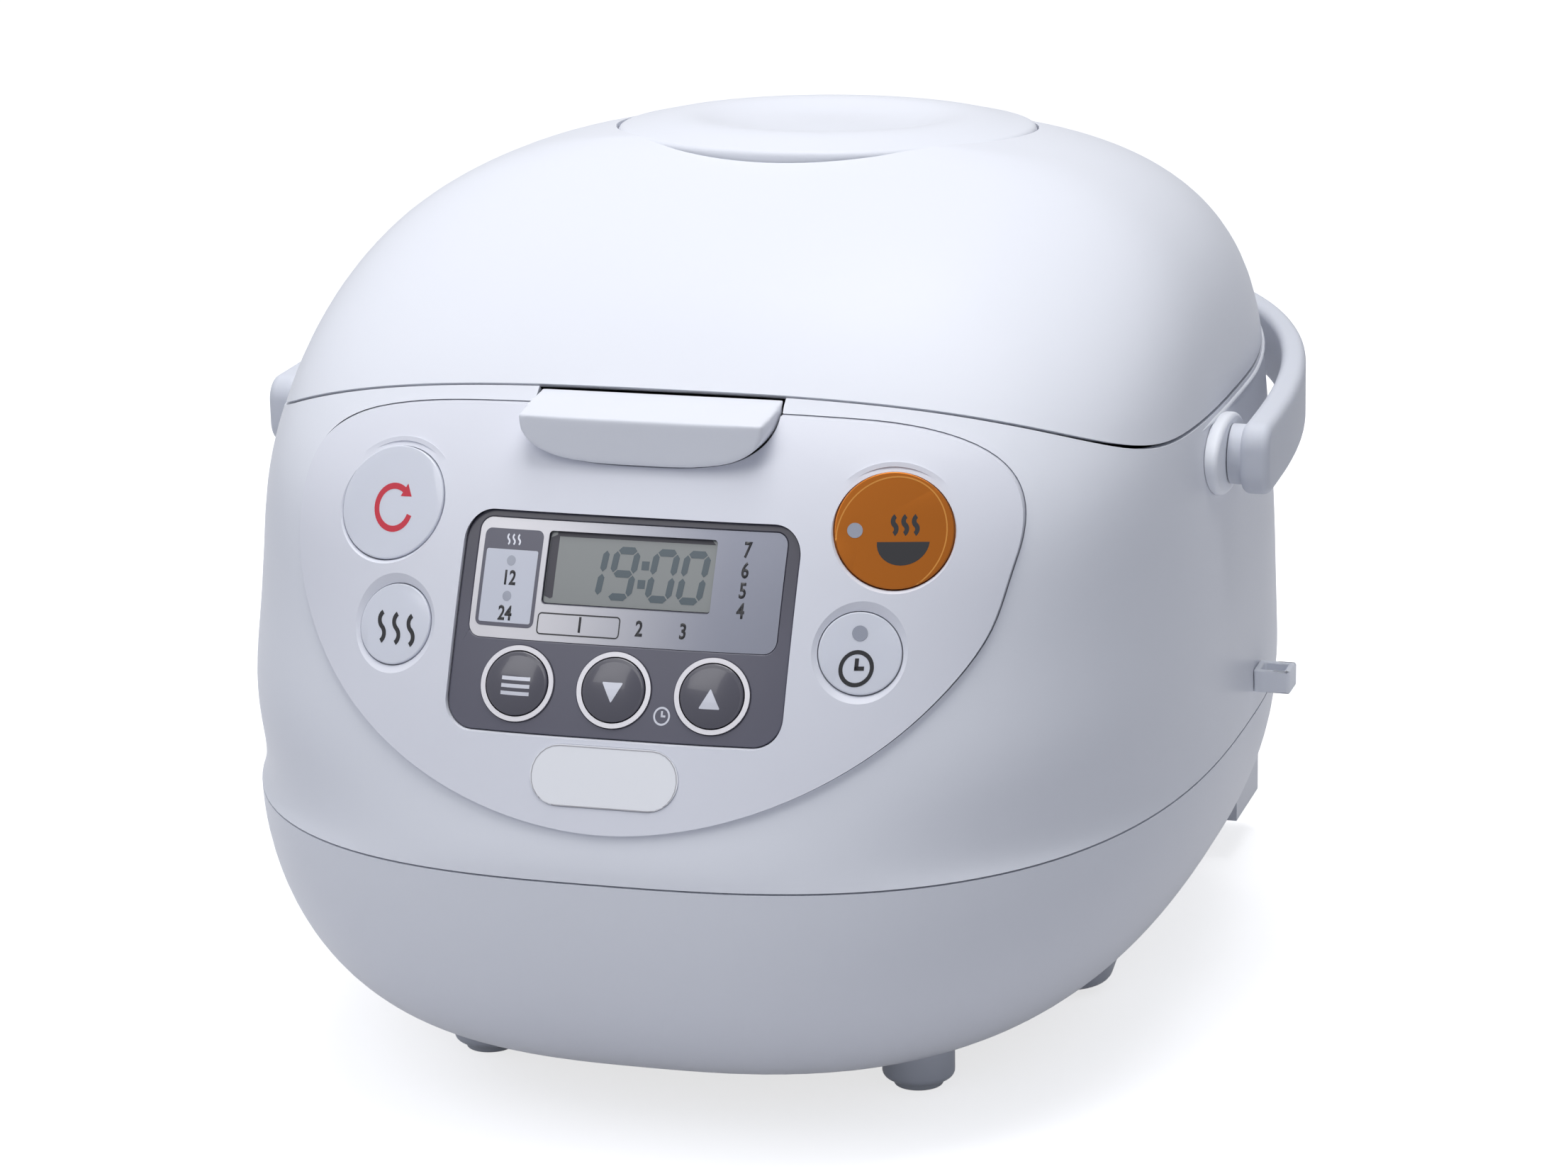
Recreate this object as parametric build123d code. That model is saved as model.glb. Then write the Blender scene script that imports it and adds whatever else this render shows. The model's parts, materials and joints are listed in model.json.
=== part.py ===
from build123d import *
from functools import lru_cache
import math
import os

# Countertop rice cooker. Millimetres, +Z up, control panel towards -Y, handle pivots on +X and -X.
# It is modelled about its widest section (y = 0) and standing on z = 0, then moved so that the
# origin is the middle of the finished model's footprint.

# ---- outer skin: half width, front reach and rear reach as functions of height ----
HALF_WIDTH = 128.0        # at the lower seam
FRONT_REACH = 176.0
REAR_REACH = 154.3
BOTTOM_Z = 8.0            # underside of the bowl
SEAM_Z = 76.3             # seam between bowl and body
SHOULDER_Z = 159.5        # where the near-straight flanks turn into the dome
CROWN_Z = 230.6           # apex that the dome's curve aims at, hidden under the vent cap
BOWL_FOOT = (67.0, 83.4, 90.0)        # side, front, rear reach at the underside
BOWL_CURVE = ((1.82, 2.03), (2.70, 2.61), (2.20, 2.20))
FLANK_LEAN = (0.7, -27.3, -1.2)       # how far the flank leans by the shoulder
FLANK_CURL = (-4.3, -10.2, -2.3)      # and how much it bends on the way
DOME_CURVE = ((2.92, 3.10), (2.60, 1.20), (2.53, 2.83))
PLAN_BOTTOM, PLAN_SEAM, PLAN_SHOULDER, PLAN_CROWN = 2.71, 2.79, 3.45, 2.19  # front squareness
PLAN_REAR = 2.5
WALL = 2.6                # moulded outer walls
SEAM_GAP = 0.5            # between bowl and body
LIP_TALL = 4.0            # lip that centres the body in the bowl
LIP_THICK = 1.4
BODY_TOP_Z = 190.0        # above the highest point of the lid seam
FIT = 0.3                 # clearance of seated pieces
RUN = 0.05                # clearance of pins that turn

# ---- lid seam, seen from the side ----
LID_SEAM_Z = 167.8
SEAM_FLAT_FRONT = -58.0   # the seam is level between these two, and sweeps up beyond them
SEAM_FLAT_REAR = 20.0
SEAM_RISE_FRONT = 18.7    # by SEAM_FRONT_Y
SEAM_RISE_REAR = 9.0      # by SEAM_REAR_Y
SEAM_FRONT_Y = -114.4
SEAM_REAR_Y = 152.0
SEAM_FRONT_POWER = 2.5
SEAM_REAR_POWER = 1.5
LID_GAP = 0.9

# ---- lid hinge ----
HINGE_Y = 135.4
HINGE_Z = 178.5
HINGE_PIN_R = 2.5
HINGE_PIN_HALF = 39.5
KNUCKLE_R = 5.6
KNUCKLE_NEAR, KNUCKLE_FAR = 20.0, 33.0
EAR_NEAR, EAR_FAR = 34.0, 38.0
HINGE_CLEAR = 1.2         # room that the body leaves for the lid's rear edge as it swings down
HINGE_LEG = 7.0
HINGE_SPRING = (HINGE_PIN_R + 1.1, 0.8, KNUCKLE_NEAR - 3.0, 10)     # coil radius, wire radius, half length, turns

# ---- steam vent cap ----
CAP_R = 57.9
CAP_Y = 39.7
CAP_Z = 226.4
CAP_TILT = 2.6            # degrees, falling to the rear
CAP_DEPTH = 3.6
CAP_CREST = 3.4
CAP_DISH_R = 33.0
CAP_GAP = 0.5
CAP_FLOOR_Z = -3.9        # floor of the lid's recess, from the cap's rim
CAP_FLOOR_WALL = 2.0
CAP_WALL = 2.2
SPIGOT_R = 12.0
SPIGOT_DEPTH = 14.0
DUCT_R = 16.5

# ---- control panel on the front ----
PANEL_HALF = 93.8
PANEL_MID_Z = 151.7
PANEL_DROP = 63.6
PANEL_RISE = 31.5
PANEL_LOWER_POWER = 1.85
PANEL_UPPER_POWER = 3.8
PANEL_PROUD = 1.3
PANEL_SEAT = 1.2
PANEL_LEDGE = 3.0
PANEL_GAP = 0.3
SEAT_GAP = 0.15
FASCIA_HALF = 43.2
FASCIA_LOW_Z = 110.0
FASCIA_TOP_Z = 159.8
FASCIA_CORNER = 7.0
FASCIA_LIP = 2.0
FASCIA_WALL = 1.4
MODULE_THICK = 3.4
LABEL_HALF = 39.7
LABEL_LOW_Z = 131.0
LABEL_TOP_Z = 158.0
LABEL_CORNER = 3.0
LABEL_DEPTH = 0.5
SCREEN_X = 0.3
SCREEN_HALF = 21.8
SCREEN_LOW_Z = 139.2
SCREEN_TOP_Z = 155.8
SCREEN_SINK = 1.0
PLATE_Z = 101.5           # blank nameplate
PLATE_HALF = 19.0
PLATE_TALL = 15.2
PLATE_SINK = 0.35
PLATE_PROUD = 0.2

# ---- buttons: centre x, centre z, radius ----
BIG_X, BIG_Z, BIG_R = 65.1, 159.0, 14.7
MID_X, MID_Z, MID_R = 60.1, 131.6, 10.2
RING_X, RING_Z, RING_R = 25.1, 121.0, 9.5
RING_WIDTH = 1.2
PRESS = 1.2               # travel
BUTTON_SINK = 4.0
BUTTON_FLANGE = 1.2
BUTTON_FLANGE_THICK = 1.0
BUTTON_GAP = 0.3
BIG_DISH, MID_DISH = 2.0, 4.0     # spread of the hollow in the panel round a button
DISH_LOW_Z, DISH_TALL = -0.1, 2.2   # the hollow's foot, from the skin, and its height
BUTTON_PROUD, RING_BUTTON_PROUD = 0.5, 0.9
SHAFT_R = 2.0
SHAFT_LONG = 4.0
LAMP_R = 1.9

# ---- lid clamp ----
CLAMP_HALF = 31.8
CLAMP_MID_Z = 184.4       # widest, where the curved lower edge starts
CLAMP_DROP = 12.9
CLAMP_POWER = 3.0
CLAMP_PROUD = 3.4
CLAMP_INNER = 1.6
CLAMP_GAP = 0.5
CLAMP_TOP_GAP = 0.9       # below the lid seam
CLAMP_SHELF_SLOPE = 0.28  # of the broad top face that a thumb presses
CLAMP_FACE_Z = 171.5      # the upright face follows the skin's plan at this height
CLAMP_LOW_Z, CLAMP_TOP_Z = 162.0, 192.0     # room that the face is cut from
CLAMP_PIVOT_Y = -112.0
CLAMP_PIVOT_Z = 163.0
CLAMP_PIN_R = 1.5
CLAMP_HUB_R = 3.8
CLAMP_SPRING = (CLAMP_PIN_R + 0.8, 0.4, 3.6, 6)
LEVER_HALF = 9.0
RISER_DEPTH = 2.8         # the lever's riser stands this far behind the skin, clear of the panel
RISER_THICK = 2.4
HOOK_HALF = 5.0
HOOK_Y = -106.0
HOOK_THICK = 3.0
HOOK_TOP_Z = 180.4
STRIKE_Y = -110.6
STRIKE_Z = 176.0
STRIKE_R = 1.5
STRIKE_LUG_X, STRIKE_LUG_THICK = 8.2, 2.4
LATCH_GAP = 0.35

# ---- handle ----
PIVOT_Y = -27.0
PIVOT_Z = 155.9
HANDLE_OUT = 138.8        # outer face of the arms at the pivot
HANDLE_IN = 131.0
HANDLE_TALL = 19.0
HANDLE_TILT = 1.0         # degrees, folded to the rear
HANDLE_REACH_OUT = 202.0
HANDLE_REACH_IN = 185.0
HANDLE_OUT_POWER = 2.35
HANDLE_IN_POWER = 2.6
HANDLE_NOSE = 9.5         # the arms end this far ahead of the pivot
HANDLE_ROUND = 2.4
NECK_R = 7.9
PAD_LONG, PAD_TALL = 39.0, 20.4
PAD_FACE_X = 127.2
PIVOT_PIN_R = 3.0
PIVOT_HEAD_R = 5.0
PIVOT_HEAD_THICK = 2.5
PIVOT_TIP_GAP = 0.3
HANDLE_SKIN = 2.0         # left outside the blind hole for the pivot pin

# ---- cooking pan and what holds it ----
PAN_Y = 6.0
PAN_R = 92.0              # outside
PAN_WALL = 2.0
PAN_BOTTOM_Z = 52.0
PAN_CORNER = 26.0
DECK_Z = 158.0            # top face of the collar that the pan's rim hangs on
DECK_THICK = 3.0
RIM_R = 99.0
RIM_THICK = 2.2
HOUSING_GAP = 3.5
HOUSING_WALL = 0.8
HOUSING_FLOOR_Z = 36.0
HEATER_R = 68.0
HEATER_THICK = 9.0
SENSOR_R = 17.0
SENSOR_TALL = 7.0
BAND_Z, BAND_TALL, BAND_THICK = 84.0, 22.0, 1.6
SHIELD_R, SHIELD_THICK, SHIELD_LOW_Z = 104.0, 0.8, 40.0
APRON_PLAN_Z = 182.0      # the apron follows the front rim's plan at this height
APRON_THICK = 1.8
APRON_TOP_GAP = 3.5
APRON_CLAMP_Z = 177.0     # lower behind the lid clamp, which swings inwards

# ---- inside the lid ----
LINER_Z = 169.0
LINER_THICK = 2.4
LINER_FRONT_Y = -105.5
LINER_REAR_Y = 117.0
LINER_SKIRT_R = 101.0
LINER_SKIRT_LOW_Z = 164.0
INNER_LID_R = 97.0
INNER_LID_THICK = 1.2
INNER_LID_Z = 163.6
LID_HEATER_R = 84.0
LID_HEATER_THICK = 1.2
GASKET_WIDE = 6.0

# ---- base ----
FOOT_X, FOOT_FRONT_Y, FOOT_REAR_Y = 59.0, -94.0, 92.0
FOOT_R = 9.5
BUMP_X, BUMP_Y, BUMP_R = 79.0, -12.0, 17.0
COVER_R = 48.0
COVER_THICK = 1.8
COVER_LEDGE = 9.0
SCREW_R = 1.6
BUMP_LOW_Z = 1.6
REEL_R, REEL_TALL = 40.0, 12.0
REEL_HUB_R, REEL_LIFT = 6.0, 5.0
REEL_X, REEL_Y = 28.0, 56.0
OUTLET_X, OUTLET_Y = 85.0, 122.0
OUTLET_LONG, OUTLET_DEEP, OUTLET_LOW_Z, OUTLET_TOP_Z = 37.0, 36.0, 12.0, 44.0
OUTLET_HOLE_R = 5.0
GROMMET_R = 3.6
BOARD_THICK = 1.6
POWER_BOARD_Z = 20.0
POWER_BOARD_POSTS = ((-50.0, 46.0), (-22.0, 46.0), (-22.0, 78.0), (-40.0, 70.0))
BOARD_DEPTH = 15.4        # control board, behind the skin at BOARD_MID_Z
BOARD_MID_Z = 140.0
BOARD_HALF, BOARD_LOW_Z, BOARD_TOP_Z = 70.0, 104.0, 163.0
BOARD_NOTCH_HALF, BOARD_NOTCH_Z = 13.0, 154.0
BOARD_POSTS = ((-52.0, 110.0), (52.0, 110.0), (-47.4, 150.0), (47.4, 150.0))
POST_R = 1.9
SWITCH_R = 3.0
SWITCH_GAP = 0.3          # left between a fully pressed button and its switch

# ---- spatula holder on the right flank ----
HOLDER_Y = 5.0
HOLDER_LONG = 10.4
HOLDER_OUT = 138.2
HOLDER_LOW_Z, HOLDER_TOP_Z = 83.3, 89.5
HOLDER_WALL = 1.8

SECTION_POINTS = 32
FAR = 400.0


# ======== outer skin ========
def reach(direction, z, offset):
    """Reach of the skin at height z: direction 0 is sideways, 1 forward, 2 rearward."""
    seam = (HALF_WIDTH, FRONT_REACH, REAR_REACH)[direction]
    lean, curl = FLANK_LEAN[direction], FLANK_CURL[direction]
    low, top = BOTTOM_Z - offset, CROWN_Z + offset
    if z < SEAM_Z:
        p, q = BOWL_CURVE[direction]
        s = min(1.0, (SEAM_Z - z) / (SEAM_Z - low))
        foot = BOWL_FOOT[direction]
        return foot + (seam - foot) * (1 - s ** p) ** (1 / q) + offset
    s = (z - SEAM_Z) / (SHOULDER_Z - SEAM_Z)
    if s <= 1:
        return seam + lean * s + curl * s * s + offset
    slope = (lean + 2 * curl) / (SHOULDER_Z - SEAM_Z)
    p, q = DOME_CURVE[direction]
    s = min(0.999, (z - SHOULDER_Z) / (top - SHOULDER_Z))
    shoulder = seam + lean + curl + offset
    return (shoulder + slope * (z - SHOULDER_Z)) * (1 - s ** p) ** (1 / q)


def front_power(z):
    """Squareness of the front half's plan at height z."""
    steps = ((BOTTOM_Z, PLAN_BOTTOM), (SEAM_Z, PLAN_SEAM), (SHOULDER_Z, PLAN_SHOULDER), (CROWN_Z, PLAN_CROWN))
    for (z0, n0), (z1, n1) in zip(steps, steps[1:]):
        if z <= z1:
            return n0 + (n1 - n0) * max(0.0, z - z0) / (z1 - z0)
    return PLAN_CROWN


def section(z, offset):
    """Closed plan outline of the skin at height z, as a face."""
    side, front, rear = (reach(i, z, offset) for i in range(3))
    points = []
    for i in range(SECTION_POINTS):
        turn = math.pi / 2 + 2 * math.pi * i / SECTION_POINTS
        c, s = math.cos(turn), math.sin(turn)
        n, depth = (PLAN_REAR, rear) if s > 0 else (front_power(z), front)
        r = (abs(c / side) ** n + abs(s / depth) ** n) ** (-1 / n)
        points.append(Vector(r * c, r * s, z))
    return Face(Wire([Edge.make_spline(points, periodic=True)]))


@lru_cache(maxsize=None)
def skin(offset, low, high):
    """Solid inside the skin moved outwards by offset, between two heights."""
    bowl = [SEAM_Z - (SEAM_Z - BOTTOM_Z + offset) * math.sin(math.radians(a)) for a in (90, 76, 62, 48, 34, 20, 8)]
    flank = [SEAM_Z + (SHOULDER_Z - SEAM_Z) * t for t in (0, 0.25, 0.5, 0.75, 1)]
    rise = CROWN_Z + offset - SHOULDER_Z
    dome = [SHOULDER_Z + rise * math.sin(math.radians(a)) for a in (12, 24, 36, 47, 57, 66, 73)]
    heights = [z for z in bowl + flank + dome if low + 1.5 < z < high - 1.5]
    return loft([section(z, offset) for z in [low] + heights + [high]])


def on_front(x, z, offset=0.0):
    """Point of the front skin seen at x, z from straight ahead."""
    side, front, n = reach(0, z, offset), reach(1, z, offset), front_power(z)
    return Vector(x, -front * (1 - abs(x / side) ** n) ** (1 / n), z)


def front_plane(x, z, offset=0.0):
    """Plane that touches the front skin at x, z, with its normal outwards and its x level."""
    step = 0.5
    across = on_front(x + step, z, offset) - on_front(x - step, z, offset)
    up = on_front(x, z + step, offset) - on_front(x, z - step, offset)
    return Plane(origin=on_front(x, z, offset), x_dir=across, z_dir=across.cross(up))


def flank_x(y, z, offset=0.0):
    """Half width of the skin at y, z."""
    side = reach(0, z, offset)
    depth, n = (reach(2, z, offset), PLAN_REAR) if y > 0 else (reach(1, z, offset), front_power(z))
    return side * (1 - abs(y / depth) ** n) ** (1 / n)


def seam_height(y):
    """Height of the lid seam at depth y."""
    ahead = max(0.0, SEAM_FLAT_FRONT - y) / (SEAM_FLAT_FRONT - SEAM_FRONT_Y)
    behind = max(0.0, y - SEAM_FLAT_REAR) / (SEAM_REAR_Y - SEAM_FLAT_REAR)
    return LID_SEAM_Z + SEAM_RISE_FRONT * ahead ** SEAM_FRONT_POWER + SEAM_RISE_REAR * behind ** SEAM_REAR_POWER


def above_seam(shift):
    """Everything above the lid seam moved up by shift."""
    ys = [SEAM_FRONT_Y * 1.12 + (SEAM_REAR_Y * 1.04 - SEAM_FRONT_Y * 1.12) * i / 16 for i in range(17)]
    curve = Edge.make_spline([Vector(0, y, seam_height(y) + shift) for y in ys])
    a, b = curve @ 0, curve @ 1
    front = Vector(0, -FAR, a.Z)
    rear = Vector(0, FAR, b.Z)
    corners = [b, rear, Vector(0, FAR, FAR), Vector(0, -FAR, FAR), front, a]
    sides = [Edge.make_line(p, q) for p, q in zip(corners, corners[1:])]
    return extrude(Face(Wire([curve] + sides)), amount=FAR / 2, dir=(1, 0, 0), both=True)


# ======== small helpers ========
def prism(sketch, near=-FAR, far=-20.0):
    """Sketch drawn in x, z as seen from the front, run through the front half of the cooker."""
    plane = Plane(origin=(0, far, 0), x_dir=(1, 0, 0), z_dir=(0, -1, 0))
    return extrude(plane * sketch, amount=far - near)


def box(x0, x1, y0, y1, z0, z1):
    return Pos((x0 + x1) / 2, (y0 + y1) / 2, (z0 + z1) / 2) * Box(x1 - x0, y1 - y0, z1 - z0)


def disc(r, z0, z1, x=0.0, y=0.0):
    return Pos(x, y, (z0 + z1) / 2) * Cylinder(r, z1 - z0)


def tube(outer, inner, z0, z1, x=0.0, y=0.0):
    return disc(outer, z0, z1, x, y) - disc(inner, z0 - 1, z1 + 1, x, y)


def rod_x(r, x0, x1, y, z):
    return Pos((x0 + x1) / 2, y, z) * Rot(0, 90, 0) * Cylinder(r, x1 - x0)


def coil(radius, wire, low, high, turns, at=Location()):
    """Helical compression spring on Z."""
    path = Helix(pitch=(high - low) / turns, height=high - low, radius=radius)
    profile = Plane(origin=path @ 0, z_dir=path % 0) * Circle(wire)
    return at * Pos(0, 0, low) * sweep(profile, path=path)


def pill(width, tall):
    return SlotOverall(width, tall)


def panel_outline(shrink):
    """Shield outline of the control panel in x, z, drawn smaller by shrink."""
    half, drop, rise = PANEL_HALF - shrink, PANEL_DROP - shrink, PANEL_RISE - shrink
    points = []
    for i in range(SECTION_POINTS):
        turn = 2 * math.pi * i / SECTION_POINTS
        c, s = math.cos(turn), math.sin(turn)
        n, tall = (PANEL_UPPER_POWER, rise) if s > 0 else (PANEL_LOWER_POWER, drop)
        r = (abs(c / half) ** n + abs(s / tall) ** n) ** (-1 / n)
        points.append(Vector(r * c, PANEL_MID_Z + r * s))
    return Face(Wire([Edge.make_spline(points, periodic=True)]))


def clamp_outline(grow):
    """Lid clamp outline in x, z: straight sides over a curved lower edge, drawn larger by grow."""
    half, drop = CLAMP_HALF + grow, CLAMP_DROP + grow
    points = []
    for i in range(SECTION_POINTS // 2 + 1):
        turn = math.pi * (1 + 2 * i / SECTION_POINTS)
        c, s = math.cos(turn), math.sin(turn)
        r = (abs(c / half) ** CLAMP_POWER + abs(s / drop) ** CLAMP_POWER) ** (-1 / CLAMP_POWER)
        points.append(Vector(r * c, CLAMP_MID_Z + r * s))
    top = CLAMP_MID_Z + CLAMP_DROP
    corners = [points[-1], Vector(half, top), Vector(-half, top), points[0]]
    sides = [Edge.make_line(p, q) for p, q in zip(corners, corners[1:])]
    return Face(Wire([Edge.make_spline(points)] + sides))


def window(half, low, top, corner, grow=0.0, x=0.0):
    """Rounded rectangle in x, z."""
    shape = RectangleRounded(2 * (half + grow), top - low + 2 * grow, corner + grow)
    return Pos(x, (low + top) / 2) * shape


CAP_FRAME = Location((0, CAP_Y, CAP_Z), (-CAP_TILT, 0, 0))
BUTTONS = {
    "reset_button": (-BIG_X, BIG_Z, BIG_R),
    "cooking_button": (BIG_X, BIG_Z, BIG_R),
    "keep_warm_button": (-MID_X, MID_Z, MID_R),
    "timer_button": (MID_X, MID_Z, MID_R),
    "menu_button": (-RING_X, RING_Z, RING_R - RING_WIDTH - BUTTON_GAP),
    "down_button": (0.0, RING_Z, RING_R - RING_WIDTH - BUTTON_GAP),
    "up_button": (RING_X, RING_Z, RING_R - RING_WIDTH - BUTTON_GAP),
}
PANEL_BUTTONS = ("reset_button", "cooking_button", "keep_warm_button", "timer_button")


def button_frame(name):
    x, z, _ = BUTTONS[name]
    return front_plane(x, z).location


# ======== control panel and buttons ========
def control_panel():
    flat = panel_outline(PANEL_GAP) - clamp_outline(CLAMP_GAP)
    flat -= window(FASCIA_HALF, FASCIA_LOW_Z, FASCIA_TOP_Z, FASCIA_CORNER, PANEL_GAP)
    body = (prism(flat) & skin(PANEL_PROUD, 80, 196)) - skin(-PANEL_SEAT, 78, 198)
    adds, cuts = [], []
    for name in PANEL_BUTTONS:
        frame, r = button_frame(name), BUTTONS[name][2]
        well = r + BUTTON_FLANGE + 0.4
        adds.append(frame * tube(well + 1.2, well, -BUTTON_SINK - 2, -PANEL_SEAT + 0.3))
        cuts.append(frame * disc(r + BUTTON_GAP, -8, 8))
        cuts.append(frame * disc(well, -8, -PANEL_SEAT - 0.1))
        dish = MID_DISH if r == MID_R else BIG_DISH
        hollow = Cone(r + BUTTON_GAP, r + BUTTON_GAP + dish, DISH_TALL)
        cuts.append(frame * Pos(0, 0, DISH_LOW_Z + DISH_TALL / 2) * hollow)
    for x, z in BOARD_POSTS:
        post = front_plane(x, z).location * disc(POST_R, -FAR / 4, -PANEL_SEAT + 0.5)
        adds.append(post & board_space(BOARD_DEPTH, 0))
    plate = extrude(pill(2 * PLATE_HALF + FIT, PLATE_TALL + FIT), amount=PLATE_SINK, both=True)
    cuts.append(plate_frame() * plate)
    return (body + adds) - cuts


def plate_frame():
    return front_plane(0, PLATE_Z, PANEL_PROUD).location


def nameplate():
    """Blank pill-shaped plate let into the panel."""
    plate = extrude(pill(2 * PLATE_HALF, PLATE_TALL), amount=PLATE_SINK + PLATE_PROUD)
    return plate_frame() * Pos(0, 0, -PLATE_SINK) * plate


def flange_height(name):
    """Top of a button's flange, from the skin."""
    return -PANEL_SEAT - 0.1 - BUTTON_GAP - (0 if name in PANEL_BUTTONS else FASCIA_LIP)


def shaft_end(name):
    return flange_height(name) - SHAFT_LONG


def round_button(name):
    frame, r = button_frame(name), BUTTONS[name][2]
    top = BUTTON_PROUD if name in PANEL_BUTTONS else RING_BUTTON_PROUD
    flange_z = flange_height(name)
    head = disc(r, flange_z - 0.5, top)
    head = fillet(head.edges().group_by(Axis.Z)[-1], 0.4)
    flange = disc(r + BUTTON_FLANGE, flange_z - BUTTON_FLANGE_THICK, flange_z)
    shaft = disc(SHAFT_R, shaft_end(name), flange_z)
    whole = frame * (head + flange + shaft)
    if name in LAMPS:
        dx, dz = LAMPS[name]
        whole -= frame * disc(LAMP_R + 0.02, top - 0.6, top + 1, dx, dz)
    return whole


LAMPS = {"cooking_button": (-9.6, 0.0), "timer_button": (0.0, 4.9)}


def button_lamp(name):
    dx, dz = LAMPS[name]
    return button_frame(name) * disc(LAMP_R, -0.1, 0.6, dx, dz)


def fascia_back():
    """Inner face of the display fascia, from the skin."""
    return -PANEL_SEAT - FIT - FASCIA_WALL


def display_fascia():
    core = prism(window(FASCIA_HALF, FASCIA_LOW_Z, FASCIA_TOP_Z, FASCIA_CORNER)) & skin(0.1, 98, 172)
    flange = prism(window(FASCIA_HALF, FASCIA_LOW_Z, FASCIA_TOP_Z, FASCIA_CORNER, FASCIA_LIP))
    flange = flange & skin(-PANEL_SEAT - FIT, 98, 172)
    body = (core + flange) - skin(fascia_back(), 96, 174)
    label = prism(window(LABEL_HALF, LABEL_LOW_Z, LABEL_TOP_Z, LABEL_CORNER, 0.1))
    body -= label - skin(0.1 - LABEL_DEPTH - 0.05, 96, 174)
    body -= prism(window(SCREEN_HALF, SCREEN_LOW_Z, SCREEN_TOP_Z, 1.0, x=SCREEN_X))
    for name in ("menu_button", "down_button", "up_button"):
        frame = button_frame(name)
        body -= frame * disc(RING_R + 0.1, -0.6, 6)
        body -= frame * disc(BUTTONS[name][2] + BUTTON_GAP, -8, 8)
        body -= frame * disc(BUTTONS[name][2] + BUTTON_FLANGE + 0.4, -8, -PANEL_SEAT - FASCIA_LIP - 0.1)
    return body


def button_rings():
    rings = []
    for name in ("menu_button", "down_button", "up_button"):
        inner = BUTTONS[name][2] + BUTTON_GAP
        rings.append(button_frame(name) * tube(RING_R, inner, -0.55, 0.5))
    return group(rings)


def label_plate():
    plate = prism(window(LABEL_HALF, LABEL_LOW_Z, LABEL_TOP_Z, LABEL_CORNER)) & skin(0.1, 98, 172)
    plate -= skin(0.1 - LABEL_DEPTH, 96, 174)
    return plate - prism(window(SCREEN_HALF, SCREEN_LOW_Z, SCREEN_TOP_Z, 1.0, x=SCREEN_X))


def screen_frame():
    """Mid-plane of the display window, on the skin."""
    return front_plane(SCREEN_X, (SCREEN_LOW_Z + SCREEN_TOP_Z) / 2).location


def display_window():
    pane = prism(window(SCREEN_HALF, SCREEN_LOW_Z, SCREEN_TOP_Z, 1.0, -0.15, x=SCREEN_X))
    return (pane & skin(-SCREEN_SINK, 98, 172)) - skin(-SCREEN_SINK - 1.2, 96, 174)


def display_module():
    front = fascia_back() - FIT - 0.1
    tall = SCREEN_TOP_Z - SCREEN_LOW_Z + 6
    return screen_frame() * box(-SCREEN_HALF - 3, SCREEN_HALF + 3, -tall / 2, tall / 2, front - MODULE_THICK, front)


def board_space(front, rear):
    """Everything between two depths behind the control board's reference point, in its plane."""
    low, high = -front, -rear if rear else FAR / 2
    return front_plane(0, BOARD_MID_Z).location * box(-FAR, FAR, -FAR, FAR, low, high)


def control_board():
    plate = prism(window(BOARD_HALF, BOARD_LOW_Z, BOARD_TOP_Z, 5.0))
    plate &= board_space(BOARD_DEPTH + FIT + BOARD_THICK, BOARD_DEPTH + FIT)
    return plate - box(-BOARD_NOTCH_HALF, BOARD_NOTCH_HALF, -FAR, 0, BOARD_NOTCH_Z, FAR)


def tact_switches():
    switches = []
    for name in BUTTONS:
        top = shaft_end(name) - PRESS - SWITCH_GAP
        stem = button_frame(name) * disc(SWITCH_R, -FAR / 4, top)
        switches.append(stem & board_space(BOARD_DEPTH + FIT, 0))
    return group(switches)


def group(pieces):
    """Separate solids kept in one node."""
    return Compound([s for p in pieces for s in p.solids()])


# ======== lid clamp ========
def pin_bore(r, half, y, z):
    return rod_x(r + RUN, -half, half, y, z)


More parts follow.
